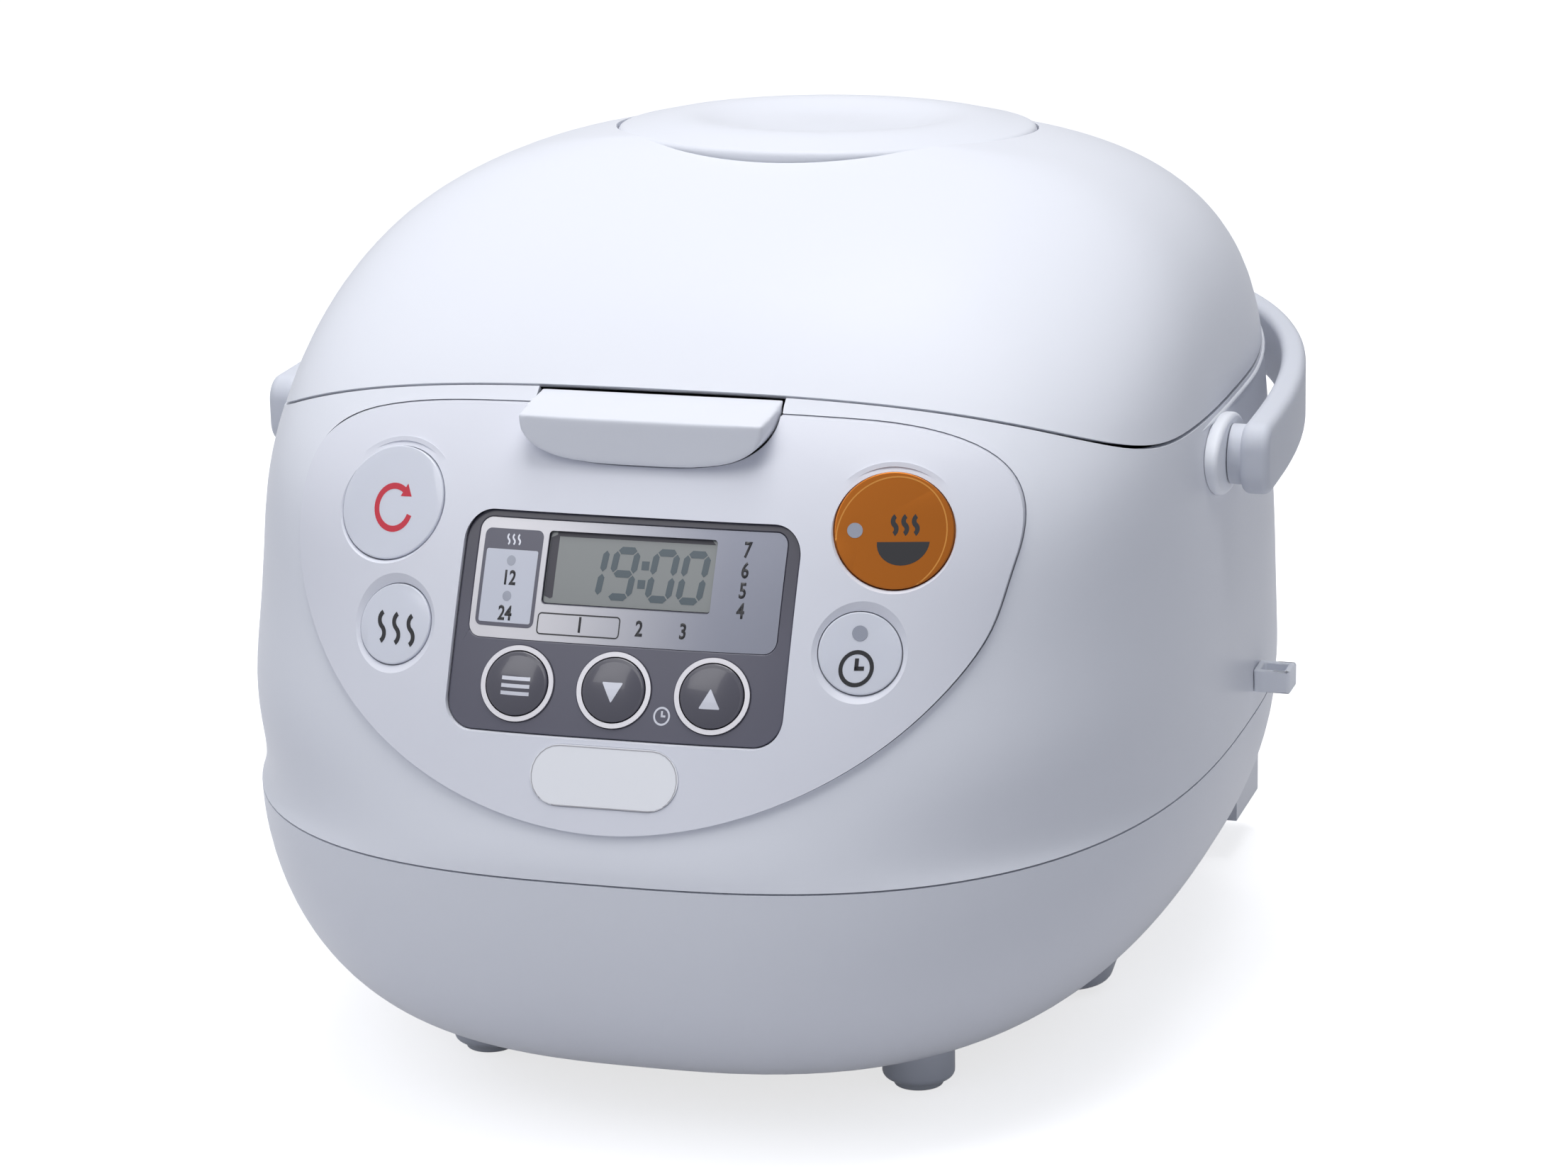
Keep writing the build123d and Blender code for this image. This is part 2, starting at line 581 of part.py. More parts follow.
def lid_clamp():
    plan = Pos(0, 0, CLAMP_LOW_Z - CLAMP_FACE_Z) * section(CLAMP_FACE_Z, CLAMP_PROUD)
    face = prism(clamp_outline(0)) & extrude(plan, amount=CLAMP_TOP_Z - CLAMP_LOW_Z, dir=(0, 0, 1))
    face -= skin(-CLAMP_INNER, 160, 194)
    face -= above_seam(-CLAMP_TOP_GAP)
    y0 = SEAM_FRONT_Y + 0.8
    z0 = LID_SEAM_Z + SEAM_RISE_FRONT - CLAMP_TOP_GAP
    run = 30.0
    shelf = [(y0, z0), (y0 - run, z0 - run * CLAMP_SHELF_SLOPE), (y0 - run, z0 + run), (y0, z0 + run)]
    cut = Face(Polyline(*[(0, y, z) for y, z in shelf], close=True).wire())
    face -= extrude(cut, amount=FAR / 4, dir=(1, 0, 0), both=True)
    y1, z1 = CLAMP_PIVOT_Y, CLAMP_PIVOT_Z
    back = HOOK_Y + HOOK_THICK / 2
    lever = rod_x(CLAMP_HUB_R, -LEVER_HALF, LEVER_HALF, y1, z1)
    lever += box(-LEVER_HALF, LEVER_HALF, y1, back, z1 - 3, z1 + 3)
    top = CLAMP_MID_Z - 5
    riser = box(-LEVER_HALF, LEVER_HALF, -FAR / 2, y1 - 2, FASCIA_TOP_Z + FASCIA_LIP + 0.6, top)
    lever += riser & (skin(-RISER_DEPTH, 158, 194) - skin(-RISER_DEPTH - RISER_THICK, 156, 196))
    neck = box(-LEVER_HALF, LEVER_HALF, -FAR / 2, y1 - 2, CLAMP_MID_Z - CLAMP_DROP + 1.5, top)
    lever += neck & (skin(-CLAMP_INNER + 0.5, 158, 194) - skin(-RISER_DEPTH - 0.5, 156, 196))
    lever += box(-LEVER_HALF, LEVER_HALF, on_front(0, z1, -RISER_DEPTH - 1).Y, y1, z1 - 2, z1 + 2)
    hook = box(-HOOK_HALF, HOOK_HALF, HOOK_Y - HOOK_THICK / 2, back, z1, HOOK_TOP_Z)
    nose_y = STRIKE_Y + STRIKE_R + LATCH_GAP
    hook += box(-HOOK_HALF, HOOK_HALF, nose_y, back, HOOK_TOP_Z - 2.6, HOOK_TOP_Z)
    whole = face + lever + hook
    whole -= pin_bore(CLAMP_PIN_R, LEVER_HALF + 1, y1, z1)
    return whole - rod_x(CLAMP_HUB_R + 1, -4, 4, y1, z1)


def clamp_pin():
    return rod_x(CLAMP_PIN_R, -LEVER_HALF - 4, LEVER_HALF + 4, CLAMP_PIVOT_Y, CLAMP_PIVOT_Z)


def spring_on_pin(radius, wire, half, turns, y, z):
    """Torsion spring's coil round a pin along X."""
    return Pos(-half, y, z) * Rot(0, 90, 0) * coil(radius, wire, 0, 2 * half, turns)


# ======== outer shells ========
def base_bowl():
    solid = skin(0, BOTTOM_Z, SEAM_Z - SEAM_GAP / 2)
    bosses, cuts = [], [disc(COVER_R - COVER_LEDGE, 0, BOTTOM_Z + WALL + 0.5)]
    for side in (-1, 1):
        for y in (FOOT_FRONT_Y, FOOT_REAR_Y):
            boss = disc(FOOT_R, 2.0, BOTTOM_Z + 9, side * FOOT_X, y)
            bosses.append(fillet(boss.edges().group_by(Axis.Z)[0], 2.0))
            cuts.append(disc(FOOT_R - 3, 0, 3.0, side * FOOT_X, y))
        bump = Pos(side * BUMP_X, BUMP_Y, BUMP_LOW_Z + 7) * Cone(BUMP_R - 5, BUMP_R, 14)
        bosses.append(fillet(bump.edges().group_by(Axis.Z)[0], 4.0))
    shell = (solid + bosses) - skin(-WALL, BOTTOM_Z + WALL, SEAM_Z + 1)
    posts = [disc(5.0, BOTTOM_Z + WALL - 0.5, HOUSING_FLOOR_Z - FIT, x, y) for x, y in HOUSING_POSTS]
    for x, y in cover_screws():
        posts.append(disc(4.0, BOTTOM_Z + 0.5, BOTTOM_Z + 7, x, y))
        cuts.append(disc(SCREW_R + RUN, 0, BOTTOM_Z + 6, x, y))
    return (shell - cuts[0]) + posts - cuts[1:]


HOUSING_POSTS = ((-70.0, 6.0), (70.0, 6.0), (0.0, -62.0), (0.0, 112.0))


def cover_screws():
    r = COVER_R - COVER_LEDGE / 2
    return [(r * math.cos(math.radians(a)), r * math.sin(math.radians(a))) for a in (30, 150, 270)]


def foot_pads():
    pads = [disc(FOOT_R - 3 - RUN, 0, 2.7, side * FOOT_X, y) for side in (-1, 1) for y in (FOOT_FRONT_Y, FOOT_REAR_Y)]
    return group([fillet(p.edges().group_by(Axis.Z)[0], 0.5) for p in pads])


def bottom_cover():
    plate = disc(COVER_R, BOTTOM_Z - SEAT_GAP - COVER_THICK, BOTTOM_Z - SEAT_GAP)
    plate = fillet(plate.edges().group_by(Axis.Z)[0], 0.8)
    for x, y in cover_screws():
        plate -= disc(SCREW_R + 0.3, 0, BOTTOM_Z, x, y)
    return plate


def bottom_screws():
    low = BOTTOM_Z - SEAT_GAP - COVER_THICK
    screws = []
    for x, y in cover_screws():
        head = disc(3.0, low - 1.6, low - 0.05, x, y)
        screws.append(head + disc(SCREW_R, low - 0.5, BOTTOM_Z + 5.5, x, y))
    return group(screws)


def hinge_room():
    """What the lid's rear edge sweeps as it swings down behind the hinge, with clearance."""
    rim = []
    x = -80.0
    while x <= 80.0:
        z = seam_height(HINGE_Y)
        side, depth = reach(0, z, 0), reach(2, z, 0)
        y = depth * (1 - abs(x / side) ** PLAN_REAR) ** (1 / PLAN_REAR)
        swing = math.hypot(max(0.0, y - HINGE_Y), HINGE_Z - seam_height(y) + LID_GAP / 2)
        rim.append(Vector(x, swing + HINGE_CLEAR, 0))
        x += 10.0
    ends = [rim[-1], Vector(rim[-1].X, 0, 0), Vector(rim[0].X, 0, 0), rim[0]]
    sides = [Edge.make_line(p, q) for p, q in zip(ends, ends[1:])]
    profile = Face(Wire([Edge.make_spline(rim)] + sides))
    return Pos(0, HINGE_Y, HINGE_Z) * revolve(profile, Axis.X)


def body_shell():
    """Wall with a lip inside its lower edge that centres it in the bowl."""
    low = SEAM_Z + SEAM_GAP / 2
    solid = skin(0, low, BODY_TOP_Z) + skin(-WALL - FIT, SEAM_Z - LIP_TALL, low)
    hollow = [skin(-WALL, SEAM_Z + LIP_TALL, BODY_TOP_Z + 2)]
    hollow.append(skin(-WALL - FIT - LIP_THICK, SEAM_Z - LIP_TALL - 1, SEAM_Z + LIP_TALL + 0.5))
    cuts = [above_seam(-LID_GAP / 2), prism(panel_outline(PANEL_LEDGE) + clamp_outline(CLAMP_GAP)), hinge_room()]
    cuts.append(prism(panel_outline(0)) - skin(-PANEL_SEAT - SEAT_GAP, 78, 200))
    return solid - hollow - cuts - [pivot_hole(side) for side in (-1, 1)]


def body_seat():
    """Outside of the body shell with clearance, for what sits on it."""
    return skin(SEAT_GAP, SEAM_Z + SEAM_GAP / 2, BODY_TOP_Z)


def pivot_hole(side):
    x0, x1 = sorted((side * (PAD_FACE_X - 20), side * (PAD_FACE_X + 5)))
    return rod_x(PIVOT_PIN_R + RUN, x0, x1, PIVOT_Y, PIVOT_Z)


def lid_shell():
    low = LID_SEAM_Z - 4
    solid = skin(0, low, CROWN_Z - 1.0)
    hollow = skin(-WALL, low - 2, CROWN_Z - WALL - 1.0)
    recess = CAP_FRAME * disc(CAP_R + CAP_GAP, CAP_FLOOR_Z, 40)
    under = CAP_FRAME * disc(CAP_R + CAP_GAP + WALL, CAP_FLOOR_Z - CAP_FLOOR_WALL, 40)
    shell = (solid - (hollow - under)) & above_seam(LID_GAP / 2)
    shell -= recess
    return shell - CAP_FRAME * disc(SPIGOT_R + CAP_GAP + 1.6, CAP_FLOOR_Z - 10, 0)


# ======== steam vent ========
def vent_cap():
    rim, crest, dish = CAP_R, CAP_CREST, CAP_DISH_R
    top = [(0, crest - 2.5), (dish * 0.7, crest - 2.3), (dish * 0.95, crest - 0.9), (dish + 3, crest)]
    top += [(rim * 0.82, crest - 0.7), (rim * 0.95, crest - 2.3), (rim, -1.2)]
    under = [(rim, -CAP_DEPTH + 0.4), (rim - 0.4, -CAP_DEPTH), (rim - CAP_WALL, -CAP_DEPTH), (rim - CAP_WALL - 1, crest - 4.6)]
    under += [(0, crest - 2.5 - CAP_WALL)]
    curve = Spline(*[(r, 0, z) for r, z in top], tangents=((1, 0, 0), (0, 0, -1)))
    lines = Polyline(*[(r, 0, z) for r, z in [top[-1]] + under + [top[0]]])
    lid = revolve(Face(Wire(curve.edges() + lines.edges())), Axis.Z)
    lid += tube(SPIGOT_R, SPIGOT_R - 2, -SPIGOT_DEPTH, crest - 2.5 - CAP_WALL + 0.3)
    return CAP_FRAME * lid


def vent_seal():
    """Soft ring in the lid's floor round the cap's spigot."""
    low = CAP_FLOOR_Z - CAP_FLOOR_WALL
    ring = tube(SPIGOT_R + CAP_GAP + 1.5, SPIGOT_R + FIT, low - 0.8, CAP_FLOOR_Z + 0.1)
    ring += tube(SPIGOT_R + CAP_GAP + 3, SPIGOT_R + FIT, low - 1.6, low - 0.1)
    return CAP_FRAME * ring


def vent_duct():
    duct = tube(DUCT_R + 1.6, DUCT_R, LINER_Z + LINER_THICK + SEAT_GAP, CAP_Z + 10, 0, CAP_Y)
    return duct - CAP_FRAME * disc(CAP_R, CAP_FLOOR_Z - CAP_FLOOR_WALL - SEAT_GAP, 60)


# ======== inside the lid ========
def lid_liner():
    low, high = LINER_Z, LINER_Z + LINER_THICK
    plate = skin(-WALL - FIT, low, high)
    front = extrude(section(APRON_PLAN_Z, -WALL - FIT - APRON_THICK - 1.5), amount=-60)
    plate &= front + box(-FAR, FAR, SEAM_FLAT_FRONT, FAR, 0, FAR)
    plate &= box(-FAR, FAR, LINER_FRONT_Y, LINER_REAR_Y, 0, FAR)
    plate += tube(LINER_SKIRT_R + 1.6, LINER_SKIRT_R, LINER_SKIRT_LOW_Z, low + 1, 0, PAN_Y)
    for angle in (90, 210, 330):
        x, y = (INNER_LID_R - 6) * math.cos(math.radians(angle)), (INNER_LID_R - 6) * math.sin(math.radians(angle))
        plate += disc(3, INNER_LID_Z + INNER_LID_THICK + SEAT_GAP, low + 1, x, PAN_Y + y)
    plate -= disc(DUCT_R, low - 1, high + 1, 0, CAP_Y)
    for side in (-1, 1):
        x0, x1 = sorted((side * KNUCKLE_NEAR, side * KNUCKLE_FAR))
        web = [(LINER_REAR_Y - 6, low), (LINER_REAR_Y, low), (HINGE_Y - 1.5, HINGE_Z - KNUCKLE_R)]
        web += [(HINGE_Y - 1.5, HINGE_Z + KNUCKLE_R), (HINGE_Y - 6, HINGE_Z + KNUCKLE_R - 1), (LINER_REAR_Y - 6, high)]
        arm = Face(Polyline(*[(x0, y, z) for y, z in web], close=True).wire())
        plate += extrude(arm, amount=x1 - x0, dir=(1, 0, 0))
        plate += rod_x(KNUCKLE_R, x0, x1, HINGE_Y, HINGE_Z)
        lug = (side * STRIKE_LUG_X - STRIKE_LUG_THICK / 2, side * STRIKE_LUG_X + STRIKE_LUG_THICK / 2)
        plate += box(*lug, STRIKE_Y - STRIKE_R - 0.6, LINER_FRONT_Y + 4, low, STRIKE_Z + STRIKE_R + 0.7)
    plate -= box(-HOOK_HALF - 1.2, HOOK_HALF + 1.2, -FAR, HOOK_Y + HOOK_THICK / 2 + 3, 0, FAR)
    plate -= pin_bore(HINGE_PIN_R, KNUCKLE_FAR + 1, HINGE_Y, HINGE_Z)
    plate -= pin_bore(STRIKE_R, STRIKE_LUG_X + STRIKE_LUG_THICK, STRIKE_Y, STRIKE_Z)
    return plate


def strike_bar():
    half = STRIKE_LUG_X + STRIKE_LUG_THICK / 2
    return rod_x(STRIKE_R, -half, half, STRIKE_Y, STRIKE_Z)


def lid_heater():
    top = LINER_Z - SEAT_GAP
    plate = disc(LID_HEATER_R, top - LID_HEATER_THICK, top, 0, PAN_Y)
    return plate - disc(DUCT_R, top - 5, top + 1, 0, CAP_Y)


def inner_lid():
    low, high = INNER_LID_Z, INNER_LID_Z + INNER_LID_THICK
    plate = disc(INNER_LID_R, low, high, 0, PAN_Y)
    plate -= disc(3.0, low - 1, high + 1, 0, CAP_Y)
    for angle in range(0, 360, 45):
        x, y = 9 * math.cos(math.radians(angle)), 9 * math.sin(math.radians(angle))
        plate -= disc(2.0, low - 1, high + 1, x, CAP_Y + y)
    return plate


def inner_lid_gasket():
    rim_top = DECK_Z + RIM_THICK
    outer = RIM_R - 1
    return tube(outer, outer - GASKET_WIDE, rim_top + FIT, INNER_LID_Z - 0.05, 0, PAN_Y)


# ======== hinge ========
def hinge_pin():
    return rod_x(HINGE_PIN_R, -HINGE_PIN_HALF, HINGE_PIN_HALF, HINGE_Y, HINGE_Z)


def hinge_bracket():
    """Ears on legs that slope forward to a foot plate on the collar, clear of the lid's sweep."""
    low = DECK_Z + SEAT_GAP
    foot_y = HINGE_Y - (HINGE_Z - low)
    bracket = box(-EAR_FAR, EAR_FAR, foot_y - 4, foot_y + 9, low, low + 2.2)
    for side in (-1, 1):
        x0, x1 = sorted((side * EAR_NEAR, side * EAR_FAR))
        half = HINGE_LEG / 2 * math.sqrt(2)
        leg = [(HINGE_Y - half, HINGE_Z), (HINGE_Y + half, HINGE_Z), (foot_y + half, low), (foot_y - half, low)]
        shape = Face(Polyline(*[(x0, y, z) for y, z in leg], close=True).wire())
        bracket += extrude(shape, amount=x1 - x0, dir=(1, 0, 0)) + rod_x(KNUCKLE_R, x0, x1, HINGE_Y, HINGE_Z)
    return bracket - pin_bore(HINGE_PIN_R, EAR_FAR + 1, HINGE_Y, HINGE_Z)


# ======== collar, pan and heaters ========
def top_collar():
    low, high = DECK_Z - DECK_THICK, DECK_Z
    plan = section(APRON_PLAN_Z, -WALL - FIT)
    plate = skin(-WALL - FIT, low, high)
    inside = extrude(plan, amount=-60) + box(-FAR, FAR, SEAM_FLAT_FRONT, FAR, 0, FAR)
    plate &= inside
    apron = extrude(plan, amount=-(APRON_PLAN_Z - low)) - extrude(section(APRON_PLAN_Z + 1, -WALL - FIT - APRON_THICK), amount=-60)
    apron &= box(-FAR, FAR, -FAR, SEAM_FLAT_FRONT + 1, 0, FAR)
    wide = CLAMP_HALF + 3
    apron -= box(-wide, wide, -FAR, CLAMP_PIVOT_Y, APRON_CLAMP_Z, FAR)
    plate += apron - above_seam(-LID_GAP / 2 - APRON_TOP_GAP)
    for side in (-1, 1):
        x0, x1 = sorted((side * (LEVER_HALF + 0.8), side * (LEVER_HALF + 3.6)))
        front = on_front(0, APRON_PLAN_Z, -WALL - FIT - 1).Y
        plate += box(x0, x1, front, CLAMP_PIVOT_Y, CLAMP_PIVOT_Z - 3, CLAMP_PIVOT_Z + 3)
        plate += box(x0, x1, CLAMP_PIVOT_Y - 3, CLAMP_PIVOT_Y + 3, high - 0.5, CLAMP_PIVOT_Z)
        plate += rod_x(3.0, x0, x1, CLAMP_PIVOT_Y, CLAMP_PIVOT_Z)
        n0, n1 = sorted((side * (pivot_seat() - PIVOT_HEAD_THICK - 1), side * FAR))
        notch = PIVOT_HEAD_R + 1
        plate -= box(n0, n1, PIVOT_Y - notch, PIVOT_Y + notch, low - 1, high + 1)
    slot = LEVER_HALF + 0.8
    plate -= box(-slot, slot, -FAR, CLAMP_PIVOT_Y, high + 0.6, FAR)
    plate -= pin_bore(CLAMP_PIN_R, LEVER_HALF + 5, CLAMP_PIVOT_Y, CLAMP_PIVOT_Z)
    return plate - disc(housing_r() + FIT, low - 1, high + 1, 0, PAN_Y)


def housing_r():
    return PAN_R + HOUSING_GAP + HOUSING_WALL


def pan_housing():
    outer, floor = housing_r(), HOUSING_FLOOR_Z
    housing = disc(outer, floor, DECK_Z - SEAT_GAP, 0, PAN_Y)
    housing -= disc(outer - HOUSING_WALL, floor + HOUSING_WALL, DECK_Z + 1, 0, PAN_Y)
    return housing - disc(SENSOR_R + 4, floor - 1, floor + 5, 0, PAN_Y)


def cooking_pan():
    r, low, top = PAN_R, PAN_BOTTOM_Z, DECK_Z + SEAT_GAP + RIM_THICK
    inner, corner = r - PAN_WALL, PAN_CORNER
    outside = disc(r, low, top, 0, PAN_Y)
    outside = fillet(outside.edges().group_by(Axis.Z)[0], corner)
    rim = disc(RIM_R, top - RIM_THICK, top, 0, PAN_Y)
    inside = disc(inner, low + PAN_WALL, top + 5, 0, PAN_Y)
    inside = fillet(inside.edges().group_by(Axis.Z)[0], corner - PAN_WALL)
    pan = outside + fillet(rim.edges(), 0.8)
    return pan - inside


def heater_plate():
    top = PAN_BOTTOM_Z - FIT
    plate = disc(HEATER_R, top - HEATER_THICK, top, 0, PAN_Y)
    plate -= disc(SENSOR_R + 1.5, top - 20, top + 1, 0, PAN_Y)
    for x in (-HEATER_R + 9, HEATER_R - 9):
        plate += disc(4, HOUSING_FLOOR_Z + HOUSING_WALL + SEAT_GAP, top - HEATER_THICK + 1, x, PAN_Y)
    return plate


def centre_sensor():
    top = PAN_BOTTOM_Z - FIT
    sensor = disc(SENSOR_R, top - SENSOR_TALL, top, 0, PAN_Y)
    sensor = fillet(sensor.edges().group_by(Axis.Z)[-1], 1.0)
    sensor -= disc(SENSOR_R - 1.5, top - 20, top - 1.6, 0, PAN_Y)
    return sensor + disc(4.0, HOUSING_FLOOR_Z - 4, top - 1, 0, PAN_Y)


def sensor_guide():
    """Cup under the housing floor that holds the sensor's spring and guides its stem."""
    low = HOUSING_FLOOR_Z - 6
    cup = disc(SENSOR_R + 6, HOUSING_FLOOR_Z - 1.2 - SEAT_GAP, HOUSING_FLOOR_Z - SEAT_GAP, 0, PAN_Y)
    cup += disc(8.0, low, HOUSING_FLOOR_Z - 0.5, 0, PAN_Y)
    return cup - disc(4.0 + 0.2, low - 1, HOUSING_FLOOR_Z + 5, 0, PAN_Y)


def sensor_spring():
    low = HOUSING_FLOOR_Z
    return coil(9.0, 0.6, low + 0.65, PAN_BOTTOM_Z - FIT - 2.4, 3.5, Pos(0, PAN_Y, 0))


def side_heater():
    r = housing_r() + 0.2
    return tube(r + BAND_THICK, r, BAND_Z, BAND_Z + BAND_TALL, 0, PAN_Y)


def heat_shield():
    shield = tube(SHIELD_R + SHIELD_THICK, SHIELD_R, SHIELD_LOW_Z, DECK_Z - DECK_THICK - SEAT_GAP, 0, PAN_Y)
    return shield & box(-FAR, FAR, -FAR, PAN_Y - SHIELD_R * 0.45, 0, FAR)


# ======== base fittings ========
def cord_reel():
    low = BOTTOM_Z + WALL + SEAT_GAP
    drum = low + REEL_LIFT
    reel = disc(REEL_R, drum, drum + REEL_TALL, REEL_X, REEL_Y)
    reel -= tube(REEL_R + 1, REEL_R - 12, drum + 2, drum + REEL_TALL - 2, REEL_X, REEL_Y)
    return reel + disc(REEL_HUB_R, low, drum + 1, REEL_X, REEL_Y)


def outlet_block():
    x0, x1 = OUTLET_X - OUTLET_LONG / 2, OUTLET_X + OUTLET_LONG / 2
    y0, y1 = OUTLET_Y - OUTLET_DEEP / 2, OUTLET_Y + OUTLET_DEEP / 2
    block = box(x0, x1, y0, y1, OUTLET_LOW_Z, OUTLET_TOP_Z)
    block = fillet(block.edges().filter_by(Axis.Z).group_by(Axis.Y)[-1], 4.0)
    block = fillet(block.edges().group_by(Axis.Z)[-1], 2.0)
    return block


def cord_outlet():
    block = outlet_block() - skin(SEAT_GAP, BOTTOM_Z + 0.5, SEAM_Z - 5)
    return block - outlet_bore(OUTLET_HOLE_R)


def outlet_bore(r):
    y1 = OUTLET_Y + OUTLET_DEEP / 2
    z = (OUTLET_LOW_Z + OUTLET_TOP_Z) / 2
    return Pos(OUTLET_X, y1 - 8, z) * Rot(90, 0, 0) * Cylinder(r, 20)


def cord_grommet():
    y1 = OUTLET_Y + OUTLET_DEEP / 2
    z = (OUTLET_LOW_Z + OUTLET_TOP_Z) / 2
    ring = Cylinder(OUTLET_HOLE_R - RUN, 12) + Pos(0, 0, -6) * Cylinder(OUTLET_HOLE_R + 1.6, 1.6)
    return Pos(OUTLET_X, y1 - 5.15, z) * Rot(90, 0, 0) * (ring - Cylinder(GROMMET_R, 40))


def power_board():
    low = POWER_BOARD_Z
    return box(-74, -16, 40, 92, low, low + BOARD_THICK) & skin(-WALL - 1, 15, 40)


def power_parts():
    """Relay, transformer and terminal block on the power board."""
    low = POWER_BOARD_Z + BOARD_THICK + 0.05
    return group([box(-62, -44, 48, 66, low, low + 11), box(-38, -24, 46, 74, low, low + 9), box(-62, -42, 72, 84, low, low + 8)])


def board_standoffs():
    low = BOTTOM_Z + WALL + SEAT_GAP
    high = POWER_BOARD_Z - SEAT_GAP
    return group([disc(3, low, high, x, y) for x, y in POWER_BOARD_POSTS])


# ======== spatula holder ========
def spatula_holder():
    half = HOLDER_LONG / 2
    clip = box(110, HOLDER_OUT, HOLDER_Y - half, HOLDER_Y + half, HOLDER_LOW_Z, HOLDER_TOP_Z)
    clip = fillet(clip.edges().filter_by(Axis.Z).group_by(Axis.X)[-1], 1.2)
    clip -= body_seat()
    x0 = flank_x(HOLDER_Y, HOLDER_TOP_Z) + HOLDER_WALL
    return clip - box(x0, HOLDER_OUT - HOLDER_WALL, HOLDER_Y - half + HOLDER_WALL, HOLDER_Y + half - HOLDER_WALL, 0, FAR)


# ======== handle ========
def handle_curve(half, reach_back, n):
    """Half of the handle's plan outline, from the right arm round the back to the left arm."""
    points = []
    for i in range(SECTION_POINTS // 2 + 1):
        turn = 2 * math.pi * i / SECTION_POINTS
        c, s = math.cos(turn), math.sin(turn)
        r = (abs(c / half) ** n + abs(s / reach_back) ** n) ** (-1 / n)
        points.append(Vector(r * c, r * s, 0))
    return points


def carry_handle():
    outer = handle_curve(HANDLE_OUT, HANDLE_REACH_OUT, HANDLE_OUT_POWER)
    inner = handle_curve(HANDLE_IN, HANDLE_REACH_IN, HANDLE_IN_POWER)
    nose = -HANDLE_NOSE
    ring = [Edge.make_spline(outer, tangents=[Vector(0, 1, 0), Vector(0, -1, 0)])]
    ring += [Edge.make_spline(inner, tangents=[Vector(0, 1, 0), Vector(0, -1, 0)])]
    ends = []
    for i in (0, -1):
        a, b = outer[i], inner[i]
        corners = [a, Vector(a.X, nose, 0), Vector(b.X, nose, 0), b]
        ends += [Edge.make_line(p, q) for p, q in zip(corners, corners[1:])]
    plan = Face(Wire(ring + ends))
    strap = extrude(plan, amount=HANDLE_TALL / 2, dir=(0, 0, 1), both=True)
    ends = strap.edges().filter_by(Axis.X)
    strap = fillet(ends, HANDLE_TALL / 2 - 3)
    strap = fillet(strap.edges().filter_by(lambda e: e.length > 60), HANDLE_ROUND)
    for side in (-1, 1):
        x0, x1 = sorted((side * (PAD_FACE_X + FIT), side * (HANDLE_IN + 1)))
        strap += rod_x(NECK_R, x0, x1, 0, 0)
        b0, b1 = sorted((side * PAD_FACE_X, side * (HANDLE_OUT - HANDLE_SKIN)))
        strap -= rod_x(PIVOT_PIN_R + RUN, b0, b1, 0, 0)
    return Location((0, PIVOT_Y, PIVOT_Z), (HANDLE_TILT, 0, 0)) * strap


def handle_mount(side):
    """Oval pad on the body that the handle's neck turns against."""
    oval = Ellipse(PAD_LONG / 2, PAD_TALL / 2)
    x0 = PAD_FACE_X - 20
    pad = Plane(origin=(x0, PIVOT_Y, PIVOT_Z), x_dir=(0, 1, 0), z_dir=(1, 0, 0)) * oval
    pad = extrude(pad, amount=PAD_FACE_X - x0)
    pad = fillet(pad.edges().group_by(Axis.X)[-1], 1.4)
    if side < 0:
        pad = mirror(pad, Plane.YZ)
    pad -= body_seat()
    return pad - pivot_hole(side)


def pivot_seat():
    """Half width at which the pivot pins' heads rest inside the body."""
    return flank_x(PIVOT_Y - PIVOT_HEAD_R, PIVOT_Z + PIVOT_HEAD_R, -WALL) - SEAT_GAP


def handle_pivots():
    """Pins from inside the body through the pads into the handle's arms."""
    inner = pivot_seat()
    pins = []
    for side in (-1, 1):
        x0, x1 = sorted((side * (inner - 1), side * (HANDLE_OUT - HANDLE_SKIN - PIVOT_TIP_GAP)))
        h0, h1 = sorted((side * (inner - PIVOT_HEAD_THICK), side * inner))
        pins.append(rod_x(PIVOT_PIN_R, x0, x1, PIVOT_Y, PIVOT_Z) + rod_x(PIVOT_HEAD_R, h0, h1, PIVOT_Y, PIVOT_Z))
    return group(pins)


